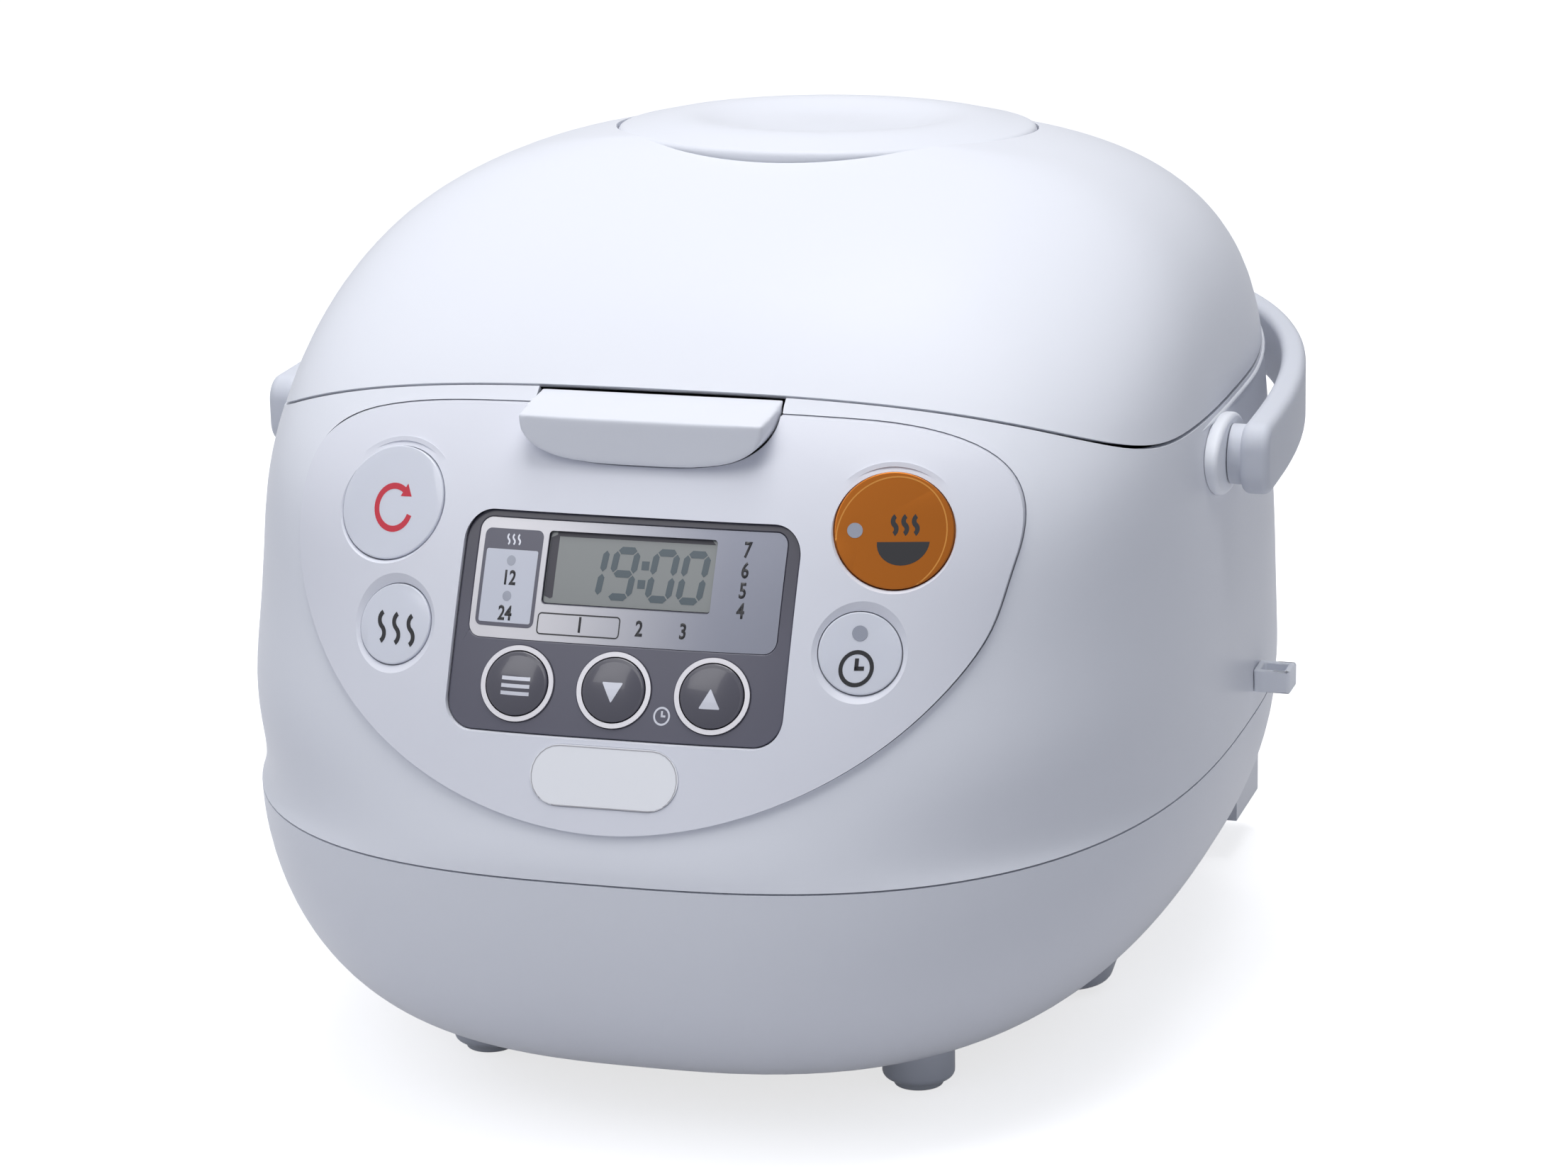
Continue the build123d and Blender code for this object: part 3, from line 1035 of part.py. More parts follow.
# ======== the whole cooker ========
def nodes():
    parts = {
        "base_bowl": base_bowl(),
        "body_shell": body_shell(),
        "lid_shell": lid_shell(),
        "lid_liner": lid_liner(),
        "lid_heater": lid_heater(),
        "inner_lid": inner_lid(),
        "inner_lid_gasket": inner_lid_gasket(),
        "strike_bar": strike_bar(),
        "vent_cap": vent_cap(),
        "vent_seal": vent_seal(),
        "vent_duct": vent_duct(),
        "lid_clamp": lid_clamp(),
        "clamp_pin": clamp_pin(),
        "clamp_spring": spring_on_pin(*CLAMP_SPRING, CLAMP_PIVOT_Y, CLAMP_PIVOT_Z),
        "hinge_pin": hinge_pin(),
        "hinge_spring": spring_on_pin(*HINGE_SPRING, HINGE_Y, HINGE_Z),
        "hinge_bracket": hinge_bracket(),
        "control_panel": control_panel(),
        "display_fascia": display_fascia(),
        "button_rings": button_rings(),
        "label_plate": label_plate(),
        "display_window": display_window(),
        "display_module": display_module(),
        "nameplate": nameplate(),
        "control_board": control_board(),
        "tact_switches": tact_switches(),
        "top_collar": top_collar(),
        "pan_housing": pan_housing(),
        "cooking_pan": cooking_pan(),
        "heater_plate": heater_plate(),
        "centre_sensor": centre_sensor(),
        "sensor_guide": sensor_guide(),
        "sensor_spring": sensor_spring(),
        "side_heater": side_heater(),
        "heat_shield": heat_shield(),
        "cord_reel": cord_reel(),
        "cord_outlet": cord_outlet(),
        "cord_grommet": cord_grommet(),
        "power_board": power_board(),
        "power_parts": power_parts(),
        "board_standoffs": board_standoffs(),
        "foot_pads": foot_pads(),
        "bottom_cover": bottom_cover(),
        "bottom_screws": bottom_screws(),
        "spatula_holder": spatula_holder(),
        "carry_handle": carry_handle(),
        "left_handle_mount": handle_mount(-1),
        "right_handle_mount": handle_mount(1),
        "handle_pivots": handle_pivots(),
    }
    for name in BUTTONS:
        parts[name] = round_button(name)
    for name in LAMPS:
        parts[name.replace("button", "lamp")] = button_lamp(name)
    return parts


PARTS = nodes()
BOX = Compound([s for shape in PARTS.values() for s in shape.solids()]).bounding_box()
SHIFT = Pos(-BOX.center().X, -BOX.center().Y, 0)
os.makedirs("parts", exist_ok=True)
for node, shape in PARTS.items():
    moved = [SHIFT * s for s in shape.solids()]
    export_step(moved[0] if len(moved) == 1 else Compound(moved), "parts/" + node + ".step")
print("shift", SHIFT.position, "nodes", len(PARTS))
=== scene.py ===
import json
import math

import bmesh
import bpy
from mathutils import Matrix, Vector
from mathutils.bvhtree import BVHTree


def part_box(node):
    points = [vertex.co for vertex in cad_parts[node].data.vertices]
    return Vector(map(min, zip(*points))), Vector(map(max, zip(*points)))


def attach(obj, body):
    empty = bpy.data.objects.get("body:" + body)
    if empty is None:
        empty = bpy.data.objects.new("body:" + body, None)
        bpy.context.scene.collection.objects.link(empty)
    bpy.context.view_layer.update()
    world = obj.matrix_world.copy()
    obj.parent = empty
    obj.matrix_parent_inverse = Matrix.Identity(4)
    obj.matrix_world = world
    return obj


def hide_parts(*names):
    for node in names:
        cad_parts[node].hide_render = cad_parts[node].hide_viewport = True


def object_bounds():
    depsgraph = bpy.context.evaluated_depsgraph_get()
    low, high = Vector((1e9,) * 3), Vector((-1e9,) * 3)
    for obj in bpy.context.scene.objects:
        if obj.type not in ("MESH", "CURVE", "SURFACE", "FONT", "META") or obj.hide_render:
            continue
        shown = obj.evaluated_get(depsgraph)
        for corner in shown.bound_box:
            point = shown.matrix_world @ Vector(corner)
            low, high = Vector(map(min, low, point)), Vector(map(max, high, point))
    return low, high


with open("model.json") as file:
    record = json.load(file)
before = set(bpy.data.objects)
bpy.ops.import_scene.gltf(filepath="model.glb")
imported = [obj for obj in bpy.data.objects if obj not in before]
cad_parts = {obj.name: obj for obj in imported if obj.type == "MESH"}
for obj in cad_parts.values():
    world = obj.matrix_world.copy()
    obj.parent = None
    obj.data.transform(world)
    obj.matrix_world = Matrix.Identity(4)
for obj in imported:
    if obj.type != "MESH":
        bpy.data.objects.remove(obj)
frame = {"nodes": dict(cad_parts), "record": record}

# A white countertop rice cooker. Metres, +Z up, control panel towards -Y.
CAD_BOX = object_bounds()
MM = 0.001

# ---- finishes: linear colours ----
# shells, handle and panel
MOULDED_WHITE = (0.79, 0.805, 0.86)
PANEL_WHITE = (0.765, 0.775, 0.84)
FROSTED_WHITE = (0.64, 0.66, 0.72)
FROSTED_LIGHT = (0.86, 0.88, 0.94)
# control panel
FASCIA_GREY = (0.104, 0.103, 0.138)
# painted shade: the fade makes the fascia darker towards its top
FASCIA_PAINTED_SHADE_TOP = (0.050, 0.048, 0.070)
LABEL_SILVER = (0.235, 0.245, 0.30)
# painted reflection of the key light: the label is made lighter towards its left
LABEL_PAINTED_REFLECTION_LEFT = (0.60, 0.59, 0.62)
DISPLAY_GREEN = (0.20, 0.215, 0.215)
# painted shade on the display pane at its left and top, partly standing for the window's dark inner walls
DISPLAY_PAINTED_SHADE = (0.050, 0.048, 0.062)
SEGMENT_TEAL = (0.050, 0.078, 0.098)
DISC_COPPER = (0.40, 0.118, 0.011)
# painted highlight: a lighter copper ring where the cooking disc's rounded edge catches the light
COPPER_PAINTED_HIGHLIGHT = (0.62, 0.27, 0.06)
DISC_PALE = (0.72, 0.74, 0.82)
KEY_GREY = (0.062, 0.060, 0.085)
RING_SILVER = (0.66, 0.65, 0.69)
LAMP_GREY = (0.33, 0.35, 0.42)
PLATE_WHITE = (0.85, 0.86, 0.90)
# print
PRINT_BLACK = (0.012, 0.012, 0.016)
PRINT_RED = (0.60, 0.030, 0.055)
PRINT_PALE = (0.62, 0.63, 0.70)
PRINT_RIM = (0.42, 0.41, 0.44)
FIELD_PALE = (0.60, 0.62, 0.70)
# inside and underneath
INNER_GREY = (0.30, 0.31, 0.33)
PAN_COAT = (0.035, 0.035, 0.038)
SHEET_STEEL = (0.52, 0.52, 0.53)
BRIGHT_STEEL = (0.60, 0.60, 0.61)
CAST_ALUMINIUM = (0.55, 0.55, 0.56)
SEAL_GREY = (0.42, 0.42, 0.43)
FOOT_GREY = (0.70, 0.71, 0.75)
BOARD_GREEN = (0.03, 0.13, 0.06)
PART_BLACK = (0.02, 0.02, 0.021)


# ======== shared effects ========
LINE_STRETCH = 0.02       # of a line's density along it


def new_group(name, inputs, outputs):
    """Shader node group with float inputs as (name, default) and outputs as (name, kind)."""
    group = bpy.data.node_groups.new(name, "ShaderNodeTree")
    for label, default in inputs:
        socket = group.interface.new_socket(label, in_out="INPUT", socket_type="NodeSocketFloat")
        socket.default_value = default
    for label, kind in outputs:
        group.interface.new_socket(label, in_out="OUTPUT", socket_type=kind)
    entry = group.nodes.new("NodeGroupInput")
    leave = group.nodes.new("NodeGroupOutput")
    return group, entry, leave


def object_noise(group, entry, scale_name, detail):
    place = group.nodes.new("ShaderNodeTexCoord")
    noise = group.nodes.new("ShaderNodeTexNoise")
    noise.inputs["Detail"].default_value = detail
    group.links.new(place.outputs["Object"], noise.inputs["Vector"])
    group.links.new(entry.outputs[scale_name], noise.inputs["Scale"])
    return noise


def spread(group, entry, source, middle, width):
    """Turns a 0 to 1 source into middle plus or minus half of width."""
    node = group.nodes.new("ShaderNodeMapRange")
    low = group.nodes.new("ShaderNodeMath")
    low.operation = "SUBTRACT"
    high = group.nodes.new("ShaderNodeMath")
    high.operation = "ADD"
    for side in (low, high):
        group.links.new(entry.outputs[middle], side.inputs[0])
        group.links.new(entry.outputs[width], side.inputs[1])
    group.links.new(source, node.inputs["Value"])
    group.links.new(low.outputs[0], node.inputs["To Min"])
    group.links.new(high.outputs[0], node.inputs["To Max"])
    return node.outputs["Result"]


def moulded_grain():
    """Faint drift of roughness and a fine orange peel height, as on moulded plastic and paint."""
    inputs = [("Drift Scale", 14.0), ("Peel Scale", 700.0), ("Roughness", 0.3), ("Roughness Spread", 0.03)]
    outputs = [("Roughness", "NodeSocketFloat"), ("Height", "NodeSocketFloat")]
    group, entry, leave = new_group("moulded_grain", inputs, outputs)
    drift = object_noise(group, entry, "Drift Scale", 3.0)
    peel = object_noise(group, entry, "Peel Scale", 2.0)
    rough = spread(group, entry, drift.outputs["Fac"], "Roughness", "Roughness Spread")
    group.links.new(rough, leave.inputs["Roughness"])
    group.links.new(peel.outputs["Fac"], leave.inputs["Height"])
    return group


def tone_drift():
    """Multiplies a colour by a slow variation of its brightness."""
    group, entry, leave = new_group("tone_drift", [("Scale", 9.0), ("Tone", 1.0), ("Tone Spread", 0.015)], [])
    group.interface.new_socket("Color", in_out="INPUT", socket_type="NodeSocketColor")
    group.interface.new_socket("Color", in_out="OUTPUT", socket_type="NodeSocketColor")
    cloud = object_noise(group, entry, "Scale", 2.0)
    tone = spread(group, entry, cloud.outputs["Fac"], "Tone", "Tone Spread")
    shade = group.nodes.new("ShaderNodeVectorMath")
    shade.operation = "SCALE"
    group.links.new(entry.outputs["Color"], shade.inputs[0])
    group.links.new(tone, shade.inputs["Scale"])
    group.links.new(shade.outputs[0], leave.inputs["Color"])
    return group


def slow_fade():
    """0 to 1 across the object between two places along a weighted X and Z."""
    inputs = [("X Weight", 0.0), ("Z Weight", 1.0), ("Low", 0.0), ("High", 1.0)]
    group, entry, leave = new_group("slow_fade", inputs, [("Mask", "NodeSocketFloat")])
    place = group.nodes.new("ShaderNodeTexCoord")
    weight = group.nodes.new("ShaderNodeCombineXYZ")
    along = group.nodes.new("ShaderNodeVectorMath")
    along.operation = "DOT_PRODUCT"
    ramp = group.nodes.new("ShaderNodeMapRange")
    ramp.interpolation_type = "SMOOTHSTEP"
    group.links.new(entry.outputs["X Weight"], weight.inputs["X"])
    group.links.new(entry.outputs["Z Weight"], weight.inputs["Z"])
    group.links.new(place.outputs["Object"], along.inputs[0])
    group.links.new(weight.outputs[0], along.inputs[1])
    group.links.new(along.outputs["Value"], ramp.inputs["Value"])
    group.links.new(entry.outputs["Low"], ramp.inputs["From Min"])
    group.links.new(entry.outputs["High"], ramp.inputs["From Max"])
    group.links.new(ramp.outputs["Result"], leave.inputs["Mask"])
    return group


def brushed_lines():
    """Long fine lines along X, as on brushed metal."""
    group, entry, leave = new_group("brushed_lines", [("Density", 900.0)], [("Mask", "NodeSocketFloat")])
    place = group.nodes.new("ShaderNodeTexCoord")
    squeeze = group.nodes.new("ShaderNodeMapping")
    squeeze.inputs["Scale"].default_value = (LINE_STRETCH, 1.0, 1.0)
    noise = group.nodes.new("ShaderNodeTexNoise")
    noise.inputs["Detail"].default_value = 3.0
    group.links.new(place.outputs["Object"], squeeze.inputs["Vector"])
    group.links.new(squeeze.outputs[0], noise.inputs["Vector"])
    group.links.new(entry.outputs["Density"], noise.inputs["Scale"])
    group.links.new(noise.outputs["Fac"], leave.inputs["Mask"])
    return group


GRAIN = moulded_grain()
TONE = tone_drift()
BRUSH = brushed_lines()
FADE = slow_fade()


# ======== materials ========
PEEL_DEPTH, LINE_DEPTH = 0.2 * MM, 0.1 * MM
LINE_BUMP = 0.05
COAT_ROUGHNESS = 0.06
SOFT_REACH = (4 * MM, 4 * MM, 5 * MM)     # how far red, green and blue wander in a soft plastic


def start_material(name):
    material = bpy.data.materials.new(name)
    material.use_nodes = True
    return material, material.node_tree, material.node_tree.nodes["Principled BSDF"]


def place_group(tree, group, values):
    node = tree.nodes.new("ShaderNodeGroup")
    node.node_tree = group
    for label, value in values.items():
        node.inputs[label].default_value = value
    return node


def moulded(name, colour, rough=0.3, spread_by=0.03, peel=700.0, bump=0.02, tone=0.012,
            metal=0.0, coat=0.0, soft=0.0, shine=0.5, fade=None):
    """Plastic, rubber or paint with an orange peel, uneven gloss and a slight drift of tone.

    fade is (second colour, X weight, Z weight, low, high) for a tone that changes across the piece.
    """
    material, tree, shader = start_material(name)
    grain = place_group(tree, GRAIN, {"Peel Scale": peel, "Roughness": rough, "Roughness Spread": spread_by})
    drift = place_group(tree, TONE, {"Tone Spread": tone, "Color": (*colour, 1.0)})
    height = tree.nodes.new("ShaderNodeBump")
    height.inputs["Strength"].default_value = bump
    height.inputs["Distance"].default_value = PEEL_DEPTH
    tree.links.new(grain.outputs["Height"], height.inputs["Height"])
    tree.links.new(height.outputs["Normal"], shader.inputs["Normal"])
    tree.links.new(grain.outputs["Roughness"], shader.inputs["Roughness"])
    tree.links.new(drift.outputs["Color"], shader.inputs["Base Color"])
    if fade:
        far_colour, x_weight, z_weight, low, high = fade
        ramp = place_group(tree, FADE, {"X Weight": x_weight, "Z Weight": z_weight, "Low": low, "High": high})
        blend = tree.nodes.new("ShaderNodeMix")
        blend.data_type = "RGBA"
        blend.inputs["A"].default_value = (*colour, 1.0)
        blend.inputs["B"].default_value = (*far_colour, 1.0)
        tree.links.new(ramp.outputs["Mask"], blend.inputs["Factor"])
        tree.links.new(blend.outputs["Result"], drift.inputs["Color"])
    shader.inputs["Metallic"].default_value = metal
    shader.inputs["Specular IOR Level"].default_value = shine
    shader.inputs["Coat Weight"].default_value = coat
    shader.inputs["Coat Roughness"].default_value = COAT_ROUGHNESS
    shader.inputs["Subsurface Weight"].default_value = soft
    shader.inputs["Subsurface Radius"].default_value = SOFT_REACH
    shader.inputs["Subsurface Scale"].default_value = 1.0
    return material


def brushed(name, colour, rough=0.28, spread_by=0.08, density=900.0, tone=0.05):
    """Bare metal with fine lines in its gloss and tone."""
    material, tree, shader = start_material(name)
    lines = place_group(tree, BRUSH, {"Density": density})
    drift = place_group(tree, TONE, {"Scale": 30.0, "Tone Spread": tone, "Color": (*colour, 1.0)})
    gloss = tree.nodes.new("ShaderNodeMapRange")
    gloss.inputs["To Min"].default_value = rough - spread_by
    gloss.inputs["To Max"].default_value = rough + spread_by
    height = tree.nodes.new("ShaderNodeBump")
    height.inputs["Strength"].default_value = LINE_BUMP
    height.inputs["Distance"].default_value = LINE_DEPTH
    tree.links.new(lines.outputs["Mask"], gloss.inputs["Value"])
    tree.links.new(lines.outputs["Mask"], height.inputs["Height"])
    tree.links.new(gloss.outputs["Result"], shader.inputs["Roughness"])
    tree.links.new(height.outputs["Normal"], shader.inputs["Normal"])
    tree.links.new(drift.outputs["Color"], shader.inputs["Base Color"])
    shader.inputs["Metallic"].default_value = 1.0
    return material


FINISHES = {
    "shell_white": moulded("moulded_white", MOULDED_WHITE, rough=0.30, shine=0.08),
    "panel_white": moulded("panel_white", PANEL_WHITE, rough=0.26, shine=0.2),
    "frosted_white": moulded("frosted_white", FROSTED_WHITE, rough=0.45, peel=1200.0, bump=0.05,
                             soft=0.1, shine=0.2),
    "frosted_light": moulded("frosted_light", FROSTED_LIGHT, rough=0.45, peel=1200.0, bump=0.05,
                             soft=0.15, shine=0.3),
    # fascia: painted shade, darker towards the top
    "fascia_grey": moulded("fascia_grey", FASCIA_GREY, rough=0.30, peel=1500.0, bump=0.03,
                           fade=(FASCIA_PAINTED_SHADE_TOP, 0.0, 1.0, 128 * MM, 158 * MM)),
    # label: painted reflection of the key light, lighter towards the left
    "label_silver": moulded("label_silver", LABEL_SILVER, rough=0.36, metal=0.3, peel=2500.0, bump=0.04,
                            fade=(LABEL_PAINTED_REFLECTION_LEFT, -1.0, 0.0, -30 * MM, 36 * MM)),
    "screen": moulded("display_pane", DISPLAY_GREEN, rough=0.22, tone=0.02, coat=0.2),
    "disc_copper": moulded("copper_disc", DISC_COPPER, rough=0.30, metal=0.85, peel=2500.0, bump=0.03,
                           coat=0.15),
    "disc_pale": moulded("pearl_disc", DISC_PALE, rough=0.22, coat=0.2, soft=0.1),
    "key_dark": moulded("dark_key", KEY_GREY, rough=0.24, coat=0.5),
    "ring_white": moulded("ring_silver", RING_SILVER, rough=0.3, metal=0.6),
    "lamp": moulded("lamp_lens", LAMP_GREY, rough=0.3, coat=0.4),
    "plate_silver": moulded("name_plate", PLATE_WHITE, rough=0.28, metal=0.15, coat=0.3),
    "inner_grey": moulded("inner_grey", INNER_GREY, rough=0.5, bump=0.08),
    "pan_coat": moulded("pan_coat", PAN_COAT, rough=0.38, peel=3000.0, bump=0.15, tone=0.08, metal=0.3),
    "housing_steel": brushed("housing_sheet", SHEET_STEEL, rough=0.34),
    "steel": brushed("bright_steel", BRIGHT_STEEL, rough=0.22),
    "cast_aluminium": moulded("cast_aluminium", CAST_ALUMINIUM, rough=0.42, metal=0.9, peel=900.0,
                              bump=0.2, tone=0.04),
    "seal_rubber": moulded("seal_rubber", SEAL_GREY, rough=0.55, bump=0.1),
    "foot_rubber": moulded("foot_rubber", FOOT_GREY, rough=0.6, bump=0.15),
    "board_green": moulded("board_green", BOARD_GREEN, rough=0.35, tone=0.06),
    "part_black": moulded("part_black", PART_BLACK, rough=0.45, bump=0.1),
}
# finishes of the marks: print, and also the display's painted shade and the cooking disc's painted highlight
MARK_FINISHES = {
    "black": moulded("print_black", PRINT_BLACK, rough=0.4),
    "red": moulded("print_red", PRINT_RED, rough=0.4),
    "pale": moulded("print_pale", PRINT_PALE, rough=0.35, metal=0.3),
    "grey": moulded("print_grey", FASCIA_GREY, rough=0.36),
    "field": moulded("print_field", FIELD_PALE, rough=0.4),
    "rim": moulded("print_rim", PRINT_RIM, rough=0.35),
    # painted highlight ring on the cooking disc
    "copper": moulded("copper_painted_highlight", COPPER_PAINTED_HIGHLIGHT, rough=0.3, metal=0.8),
    # painted shade on the display pane
    "painted_shade": moulded("display_painted_shade", DISPLAY_PAINTED_SHADE, rough=0.5),
    "lamp": FINISHES["lamp"],
    "segment": moulded("display_segment", SEGMENT_TEAL, rough=0.25),
}

SLOT_OF = {part["node"]: part["material_slot"] for part in frame["record"]["subparts"]}
BODY_OF = {node: body for body, nodes in frame["record"]["behaviour"]["bodies"].items() for node in nodes}


# ======== pieces that stand for the CAD nodes, with smooth faces and softened edges ========
SMOOTH_UNDER = math.radians(28)
WELD, SLIVER = 0.002 * MM, 0.001 * MM
EDGE_SEGMENTS = 3
EDGE_SOFTNESS = {         # mm
    "base_bowl": 0.2, "body_shell": 0.3, "lid_shell": 0.4, "vent_cap": 0.3, "control_panel": 0.4,
    "carry_handle": 0.4, "spatula_holder": 0.5, "cord_outlet": 0.5, "display_fascia": 0.3,
}
NODE_FINISH = {           # where it isn't the slot's own
    "spatula_holder": "frosted_light", "left_handle_mount": "frosted_light", "right_handle_mount": "frosted_light",
}
CLAMP = "lid_clamp"
CLAMP_SHELF_BACK_Y, CLAMP_SHELF_BACK_Z = -113.147 * MM, 185.6 * MM      # where the press shelf meets the seam
CLAMP_SHELF_SLOPE, CLAMP_SHELF_LOOK = 0.28, 0.12          # of the CAD shelf, and as the photo shows it
CLAMP_SHELF_REACH = 0.05 * MM                             # how close to the shelf's plane its points lie
CLAMP_AXIS_Y, CLAMP_AXIS_Z = -111.547 * MM, 163.0 * MM    # of its pin
CLAMP_BORE_RIM, CLAMP_BORE_EXTRA = 2.3 * MM, 0.6 * MM     # the easing of the edges takes the extra back
CLAMP_VOXEL, CLAMP_EASE, CLAMP_EASE_STEPS = 0.45 * MM, 0.5, 14


def widen_bore(shape):
    for vert in shape.verts:
        y, z = vert.co.y - CLAMP_AXIS_Y, vert.co.z - CLAMP_AXIS_Z
        reach = math.hypot(y, z)
        if 0 < reach < CLAMP_BORE_RIM:
            vert.co.y += y / reach * CLAMP_BORE_EXTRA
            vert.co.z += z / reach * CLAMP_BORE_EXTRA


def raise_shelf(shape):
    """The clamp's press shelf made flatter, so that its upright face stands taller under it."""
    for vert in shape.verts:
        out = CLAMP_SHELF_BACK_Y - vert.co.y
        if out > 0 and abs(vert.co.z - CLAMP_SHELF_BACK_Z + out * CLAMP_SHELF_SLOPE) < CLAMP_SHELF_REACH:
            vert.co.z += out * (CLAMP_SHELF_SLOPE - CLAMP_SHELF_LOOK)


def ease_edges(piece):
    """Evenly sized faces, then a smoothing that rounds every edge."""
    even = piece.modifiers.new("even_faces", "REMESH")
    even.mode = "VOXEL"
    even.voxel_size = CLAMP_VOXEL
    even.use_smooth_shade = True
    ease = piece.modifiers.new("eased_edges", "SMOOTH")
    ease.factor = CLAMP_EASE
    ease.iterations = CLAMP_EASE_STEPS


def soften_edges(piece, width):
    edge = piece.modifiers.new("edge_softness", "BEVEL")
    edge.width = width
    edge.segments = EDGE_SEGMENTS
    edge.limit_method = "ANGLE"
    edge.angle_limit = SMOOTH_UNDER
    edge.harden_normals = False
    edge.use_clamp_overlap = True


def new_piece(name, shape, material):
    """Object with the shape's mesh, linked into the scene. Frees the shape."""
    mesh = bpy.data.meshes.new(name)
    shape.to_mesh(mesh)
    shape.free()
    mesh.materials.append(material)
    piece = bpy.data.objects.new(name, mesh)
    bpy.context.scene.collection.objects.link(piece)
    return piece


def smooth_copy(node):
    """The node's own shape with its loose triangles joined, shaded smooth up to its true edges."""
    shape = bmesh.new()
    shape.from_mesh(frame["nodes"][node].data)
    bmesh.ops.remove_doubles(shape, verts=shape.verts, dist=WELD)
    bmesh.ops.dissolve_degenerate(shape, edges=shape.edges, dist=SLIVER)
    if node == CLAMP:
        widen_bore(shape)
        raise_shelf(shape)
    for face in shape.faces:
        face.smooth = True
    piece = new_piece(node + "_smooth", shape, FINISHES[NODE_FINISH.get(node, SLOT_OF[node])])
    if "custom_normal" in piece.data.attributes:
        piece.data.attributes.remove(piece.data.attributes["custom_normal"])
    piece.data.set_sharp_from_angle(angle=SMOOTH_UNDER)
    if node == CLAMP:
        ease_edges(piece)
    if node in EDGE_SOFTNESS:
        soften_edges(piece, EDGE_SOFTNESS[node] * MM)
    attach(piece, BODY_OF[node])
    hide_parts(node)
    return piece


for node, cad in frame["nodes"].items():
    cad.data.materials.clear()
    cad.data.materials.append(FINISHES[SLOT_OF[node]])
SMOOTH = {node: smooth_copy(node) for node in frame["nodes"]}


# ======== domed tops of the dark keys ========
CROWN_RADIUS, CROWN_RISE, CROWN_SEAT = 7.5 * MM, 0.95 * MM, 0.05 * MM
CROWN_POWER, CROWN_RINGS, CROWN_SIDES = 2.6, 8, 48
CROWN_SHARP = math.radians(50)
CROWNED = ("menu_button", "down_button", "up_button")
PRESS_AXIS = {joint["child"]: Vector(joint["axis"]) for joint in frame["record"]["behaviour"]["joints"]
              if joint["type"] == "slide"}
CROWNS = {}


def key_crown(node):
    """Shallow dome over a key, square to the way it is pressed."""
    outwards = -PRESS_AXIS[BODY_OF[node]].normalized()
    top = max(vert.co.dot(outwards) for vert in SMOOTH[node].data.vertices)
    low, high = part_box(node)
    centre = (low + high) / 2
    centre += outwards * (top - centre.dot(outwards) - CROWN_SEAT)
    shape = bmesh.new()
    shares = [i / CROWN_RINGS for i in range(CROWN_RINGS + 1)]
    arc = [shape.verts.new((CROWN_RADIUS * t, 0, CROWN_RISE * (1 - t ** CROWN_POWER))) for t in shares]
    edges = [shape.edges.new(pair) for pair in zip(arc, arc[1:])]
    bmesh.ops.spin(shape, geom=arc + edges, cent=(0, 0, 0), axis=(0, 0, 1), angle=2 * math.pi, steps=CROWN_SIDES,
                   use_merge=True)
    bmesh.ops.remove_doubles(shape, verts=shape.verts, dist=SLIVER)
    rim = [e for e in shape.edges if e.is_boundary]
    bmesh.ops.holes_fill(shape, edges=rim, sides=0)
    bmesh.ops.recalc_face_normals(shape, faces=shape.faces)
    turn = outwards.to_track_quat("Z", "Y").to_matrix().to_4x4()
    bmesh.ops.transform(shape, matrix=Matrix.Translation(centre) @ turn, verts=shape.verts)
    for face in shape.faces:
        face.smooth = len(face.verts) < 5
    piece = new_piece(node + "_crown", shape, FINISHES["key_dark"])
    piece.data.set_sharp_from_angle(angle=CROWN_SHARP)
    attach(piece, BODY_OF[node])
    return piece


def surface_of(node):
    """Search tree over a node's piece, and over its crown where it has one."""
    shape = bmesh.new()
    shape.from_mesh(SMOOTH[node].data)
    if node in CROWNS:
        shape.from_mesh(CROWNS[node].data)
    tree = BVHTree.FromBMesh(shape)
    shape.free()
    return tree


# ======== rim beads under the lid gap ========
SEAM_LEVEL, SEAM_RISE = 167.8, 9.0                        # mm, the lid gap's height on the flank and its rise
SEAM_LEVEL_UNTIL, SEAM_RISE_OVER, SEAM_POWER = 20.0, 132.0, 1.5
BEAD_BELOW, BEAD_RADIUS, BEAD_SUNK = 2.1, 0.75, 0.15      # mm, mm, and a share of the radius
BEAD_TIP, BEAD_TAPER = 0.05, 0.10                         # radius at the ends and length of the taper, as shares
BEAD_FRONT, BEAD_REAR, BEAD_OUTSIDE = -44.0, 104.0, 200.0
BEAD_STEPS, BEAD_SIDES = 60, 10


def bead_path(side):
    """Places on the flank that the bead runs through, each with the flank's direction outwards."""
    flank = surface_of("body_shell")
    path = []
    for i in range(BEAD_STEPS + 1):
        y = BEAD_FRONT + (BEAD_REAR - BEAD_FRONT) * i / BEAD_STEPS
        rise = SEAM_RISE * (max(0.0, y - SEAM_LEVEL_UNTIL) / SEAM_RISE_OVER) ** SEAM_POWER
        start = Vector((side * BEAD_OUTSIDE, y, SEAM_LEVEL + rise - BEAD_BELOW)) * MM
        spot, normal, _, _ = flank.ray_cast(start, Vector((-side, 0, 0)))
        path.append((spot, normal if normal.x * side > 0 else -normal))
    return path


